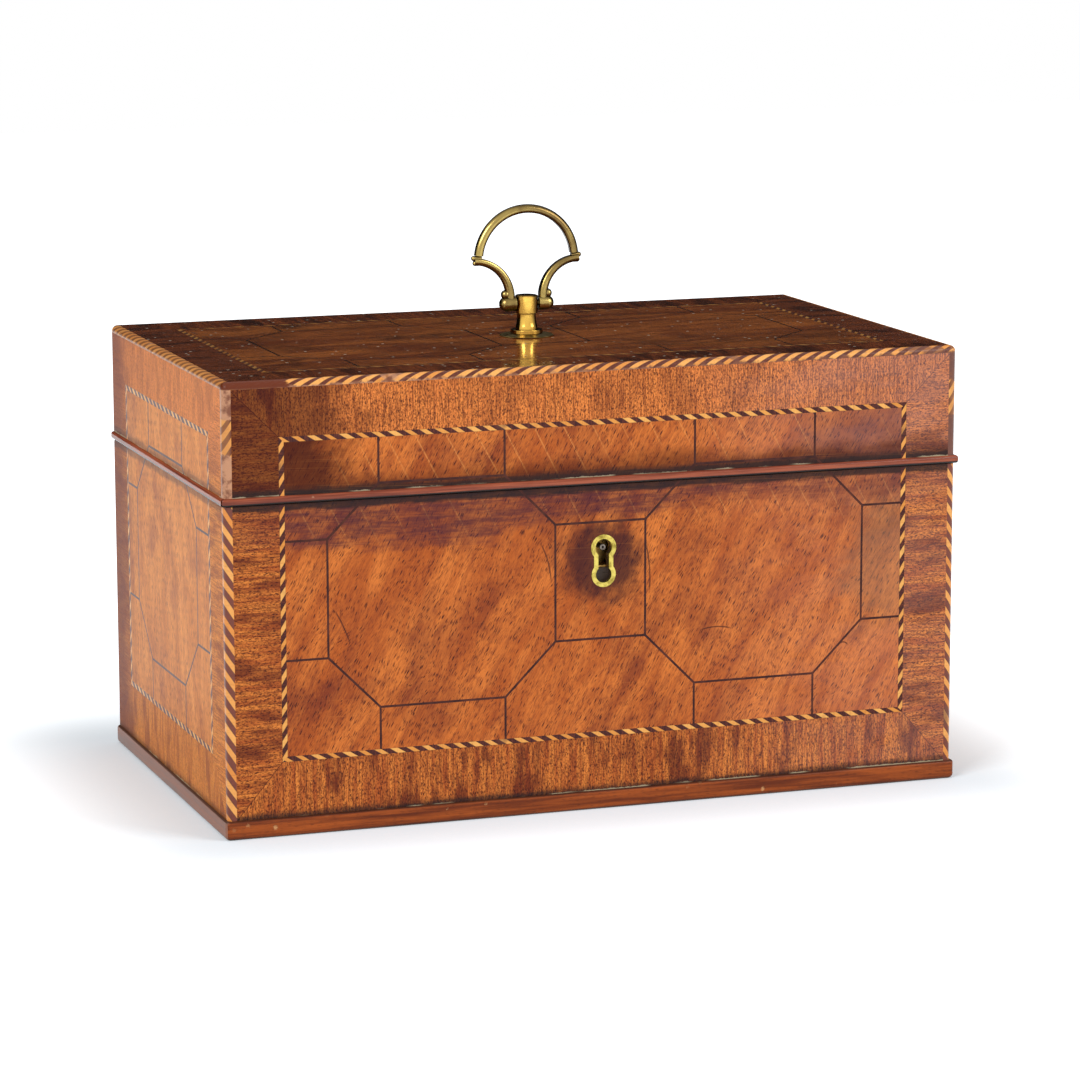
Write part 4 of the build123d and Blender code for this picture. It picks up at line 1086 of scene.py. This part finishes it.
def turned_rose():
    """The rose spun from its profile, with a fine rolled rim."""
    shape = bmesh.new()
    corners = [shape.verts.new((radius, 0, LID_TOP + height)) for radius, height in ROSE_PROFILE]
    edges = [shape.edges.new(pair) for pair in zip(corners, corners[1:] + corners[:1])]
    bmesh.ops.spin(shape, geom=corners + edges, cent=(0, 0, 0), axis=(0, 0, 1),
                   angle=math.tau, steps=ROSE_STEPS, use_merge=True)
    bmesh.ops.recalc_face_normals(shape, faces=shape.faces)
    return shape


def shade_as_turned(mesh):
    """Makes the round faces of the post's head shade as if they came off a lathe."""
    normals = [Vector(corner.vector) for corner in mesh.corner_normals]
    for loop in mesh.loops:
        out = mesh.vertices[loop.vertex_index].co.copy()
        out.z = 0
        upright = out.normalized().dot(normals[loop.index]) > 0.8
        if out.length > HEAD_RADIUS - 0.00002 and upright:
            normals[loop.index] = out.normalized()
    mesh.normals_split_custom_set(normals)


def bar_outline(shape, centre, outward, side):
    """Section of the bail's bar: a circle filed flat on one side."""
    corners = []
    for step in range(BAR_STEPS + 1):
        angle = BAR_REACH * (2 * step / BAR_STEPS - 1)
        off = side * (BAR_SHIFT + BAR_RADIUS * math.cos(angle))
        corners.append(shape.verts.new(centre + outward * off + Y * (BAR_RADIUS * math.sin(angle))))
    return corners + [shape.edges.new(pair) for pair in zip(corners, corners[1:] + corners[:1])]


def bent_bar(shape, centre, radius, angles, side, thin=1.0, thick=1.0):
    """The bar bent round an arc and closed at both ends, thin at one and thick at the other."""
    first, last = (math.radians(angle) for angle in angles)
    outward = Vector((math.cos(first), 0, math.sin(first)))
    old = set(shape.verts)
    outline = bar_outline(shape, centre + outward * radius, outward, side)
    bmesh.ops.spin(shape, geom=outline, cent=centre, axis=(0, -1, 0), angle=last - first,
                   steps=BEND_STEPS)
    for corner in shape.verts:
        if corner not in old:
            from_centre = (corner.co - centre) * Vector((1, 0, 1))
            angle = math.atan2(from_centre.z, from_centre.x) % math.tau
            middle = centre + from_centre.normalized() * radius
            share = max(0.0, min(1.0, (angle - first) / (last - first)))
            corner.co = middle + (corner.co - middle) * (thin + (thick - thin) * share ** 1.5)
    bmesh.ops.holes_fill(shape, edges=[edge for edge in shape.edges if edge.is_boundary])


def round_rod(shape, radius, start, shoulder, height):
    """A round rod along X with a flat end and a domed tip."""
    dome = [math.radians(90 * step / DOME_STEPS) for step in range(DOME_STEPS + 1)]
    profile = [(start, 0), (start, radius)] + [
        (shoulder + radius * math.sin(a), radius * math.cos(a)) for a in dome]
    corners = [shape.verts.new((x, 0, height + up)) for x, up in profile]
    edges = [shape.edges.new(pair) for pair in zip(corners, corners[1:])]
    bmesh.ops.spin(shape, geom=corners + edges, cent=(0, 0, height), axis=(1, 0, 0),
                   angle=math.tau, steps=ROUND_STEPS, use_merge=True)


def cast_bail():
    """The bail standing upright: arms, bosses with their pegs, beads, split lips and ring."""
    shape = bmesh.new()
    bent_bar(shape, ARM_CENTRE, ARM_RADIUS, ARM_ANGLES, -1, ARM_THIN, ARM_THICK)
    for rod in RODS:
        round_rod(shape, *rod)
    bmesh.ops.create_uvsphere(shape, u_segments=24, v_segments=12, radius=BEAD_RADIUS,
                              matrix=Matrix.Translation(BEAD_CENTRE))
    bmesh.ops.mirror(shape, geom=shape.verts[:] + shape.edges[:] + shape.faces[:], axis="X")
    bent_bar(shape, RING_CENTRE, RING_RADIUS, RING_ANGLES, 1)
    bmesh.ops.remove_doubles(shape, verts=shape.verts, dist=SAME_PLACE)
    bmesh.ops.recalc_face_normals(shape, faces=shape.faces)
    return shape


rose_brass = metal_finish("Rose brass", "#927c46", "#40361f", 130.0, (0.26, 0.46),
                          pitted=0.5, pit="#b3a486")
post_brass = metal_finish("Post brass", "#f0c05a", "#ac7f32", 70.0, (0.14, 0.24), (0.45, 0.80),
                          relief=0.000004, pitted=0.25, pit="#6b4c20", outline=0.85)
bail_brass = metal_finish("Bail brass", "#b09858", "#705a36", 40.0, (0.22, 0.30), (0.36, 0.70),
                          relief=0.000001, pitted=0.15, pit="#8a6650", outline=0.92)
stands_in(turned_rose(), "rose", "lid", "rose_brass", rose_brass, "handle_rose")
post = smoothed("handle_post", "post", "lid", "post_brass", post_brass)
shade_as_turned(post.data)
stands_in(cast_bail(), "bail", "bail", "handle_brass", bail_brass, "handle_bail",
          edge=CAST_EDGE)
dress(post_brass, "handle_nut")

# Studio: a white floor that runs out of sight, three dark cards behind the caddy that
# only its polish sees, two soft boxes and the camera of the photograph.

FLOOR_REACH = 6.0
FLOOR_WHITE = "#dbe4eb"
CARD_DARK = "#2a2624"
CARD_HEIGHT = 1.1
CADDY_HALF = (0.151, 0.088, 0)
SHADOW_REACH = 0.115
CAMERA_PLACE = Vector((-0.5468, -1.5819, 0.4014))
CAMERA_YAW = math.radians(19.250)
CAMERA_PITCH = math.radians(10.487)
CAMERA_ROLL = math.radians(-0.110)
CAMERA_LENS = 139.6


def flat_sheet(name, width, length, turns, centre):
    """A flat sheet of the studio, lying down or upright, which is no part of the caddy."""
    shape = bmesh.new()
    bmesh.ops.create_grid(shape, x_segments=1, y_segments=1, size=0.5)
    bmesh.ops.scale(shape, vec=(width, length, 1), verts=shape.verts)
    for turn, axis in turns:
        bmesh.ops.rotate(shape, cent=(0, 0, 0), verts=shape.verts,
                         matrix=Matrix.Rotation(math.radians(turn), 3, axis))
    bmesh.ops.translate(shape, vec=centre, verts=shape.verts)
    mesh = bpy.data.meshes.new(name)
    shape.to_mesh(mesh)
    shape.free()
    sheet = bpy.data.objects.new(name, mesh)
    bpy.context.scene.collection.objects.link(sheet)
    return sheet


def seen_plainly(tree):
    """1 for rays from the camera, from polish or through glass, and 0 for light."""
    rays = place(tree, "LightPath").outputs
    seen = either(tree, rays["Is Camera Ray"], rays["Is Glossy Ray"])
    return either(tree, seen, rays["Is Transmission Ray"])


def floor_finish():
    """White all round, and left to show the caddy's shadow near its foot."""
    material, tree, sockets = new_material("White floor", 0.9, 0.0)
    sockets["Base Color"].default_value = tint(FLOOR_WHITE)
    sockets["Emission Color"].default_value = (1, 1, 1, 1)
    beyond = reckon_all(tree, "SUBTRACT", reckon_all(tree, "ABSOLUTE", where(tree)), CADDY_HALF)
    beyond = reckon_all(tree, "MAXIMUM", beyond, (0, 0, 0))
    away = place(tree, "VectorMath", {0: beyond}, operation="LENGTH").outputs["Value"]
    glow = ease(tree, away, 0.0, SHADOW_REACH, 0.18, 1.0)
    feed(sockets, Emission_Strength=times(tree, seen_plainly(tree), glow))
    return material


floor = flat_sheet("studio_floor", FLOOR_REACH, FLOOR_REACH, (), (0, 0, 0))
floor.data.materials.append(floor_finish())

card_paper, _, sockets = new_material("Dark card", 0.9, 0.0)
sockets["Base Color"].default_value = tint(CARD_DARK)
FACING, SIDEWAYS = ((90, "X"),), ((90, "X"), (90, "Z"))
for name, width, turns, centre in (("back", 3.0, FACING, (0.35, 1.3, 0.62)),
                                   ("left", 1.2, SIDEWAYS, (-1.1, 0.70, 0.62)),
                                   ("right", 1.2, SIDEWAYS, (1.1, 0.70, 0.62))):
    card = flat_sheet(name + "_dark_card", width, CARD_HEIGHT, turns, centre)
    card.data.materials.append(card_paper)
    card.visible_camera = False
    card.visible_diffuse = False
    card.visible_shadow = False

world = bpy.data.worlds.new("Studio")
world.use_nodes = True
bpy.context.scene.world = world
background = world.node_tree.nodes["Background"].inputs
background["Color"].default_value = (1, 1, 1, 1)
feed(background, Strength=reckon(world.node_tree, "MULTIPLY_ADD",
                                 seen_plainly(world.node_tree), 0.55, 0.45))


def soft_box(name, place_at, aim, size, watts):
    """A large soft square lamp turned towards a point."""
    lamp = bpy.data.lights.new(name, "AREA")
    lamp.shape = "RECTANGLE"
    lamp.size = lamp.size_y = size
    lamp.energy = watts
    holder = bpy.data.objects.new(name, lamp)
    bpy.context.scene.collection.objects.link(holder)
    holder.location = place_at
    holder.rotation_euler = (Vector(aim) - Vector(place_at)).to_track_quat("-Z", "Y").to_euler()


LAMP_AIM = (0, 0, 0.08)
soft_box("left_soft_box", (-1.5, -1.1, 1.3), LAMP_AIM, 1.0, 26)
soft_box("right_soft_box", (1.5, -1.3, 1.1), LAMP_AIM, 1.0, 24)


def camera_axes(yaw, pitch, roll):
    """The camera's right, up and backward directions."""
    ahead = Vector((math.sin(yaw) * math.cos(pitch), math.cos(yaw) * math.cos(pitch),
                    -math.sin(pitch)))
    level = Vector((math.cos(yaw), -math.sin(yaw), 0))
    above = level.cross(ahead)
    right = level * math.cos(roll) + above * math.sin(roll)
    up = above * math.cos(roll) - level * math.sin(roll)
    return Matrix((right, up, -ahead)).transposed()


lens = bpy.data.cameras.new("Camera")
lens.lens = CAMERA_LENS
lens.sensor_width = 36.0
lens.sensor_fit = "HORIZONTAL"
lens.clip_start = 0.01
lens.clip_end = 50.0
camera = bpy.data.objects.new("Camera", lens)
bpy.context.scene.collection.objects.link(camera)
camera.matrix_world = Matrix.Translation(CAMERA_PLACE) @ camera_axes(
    CAMERA_YAW, CAMERA_PITCH, CAMERA_ROLL).to_4x4()
bpy.context.scene.camera = camera
bpy.context.scene.view_settings.view_transform = "Standard"
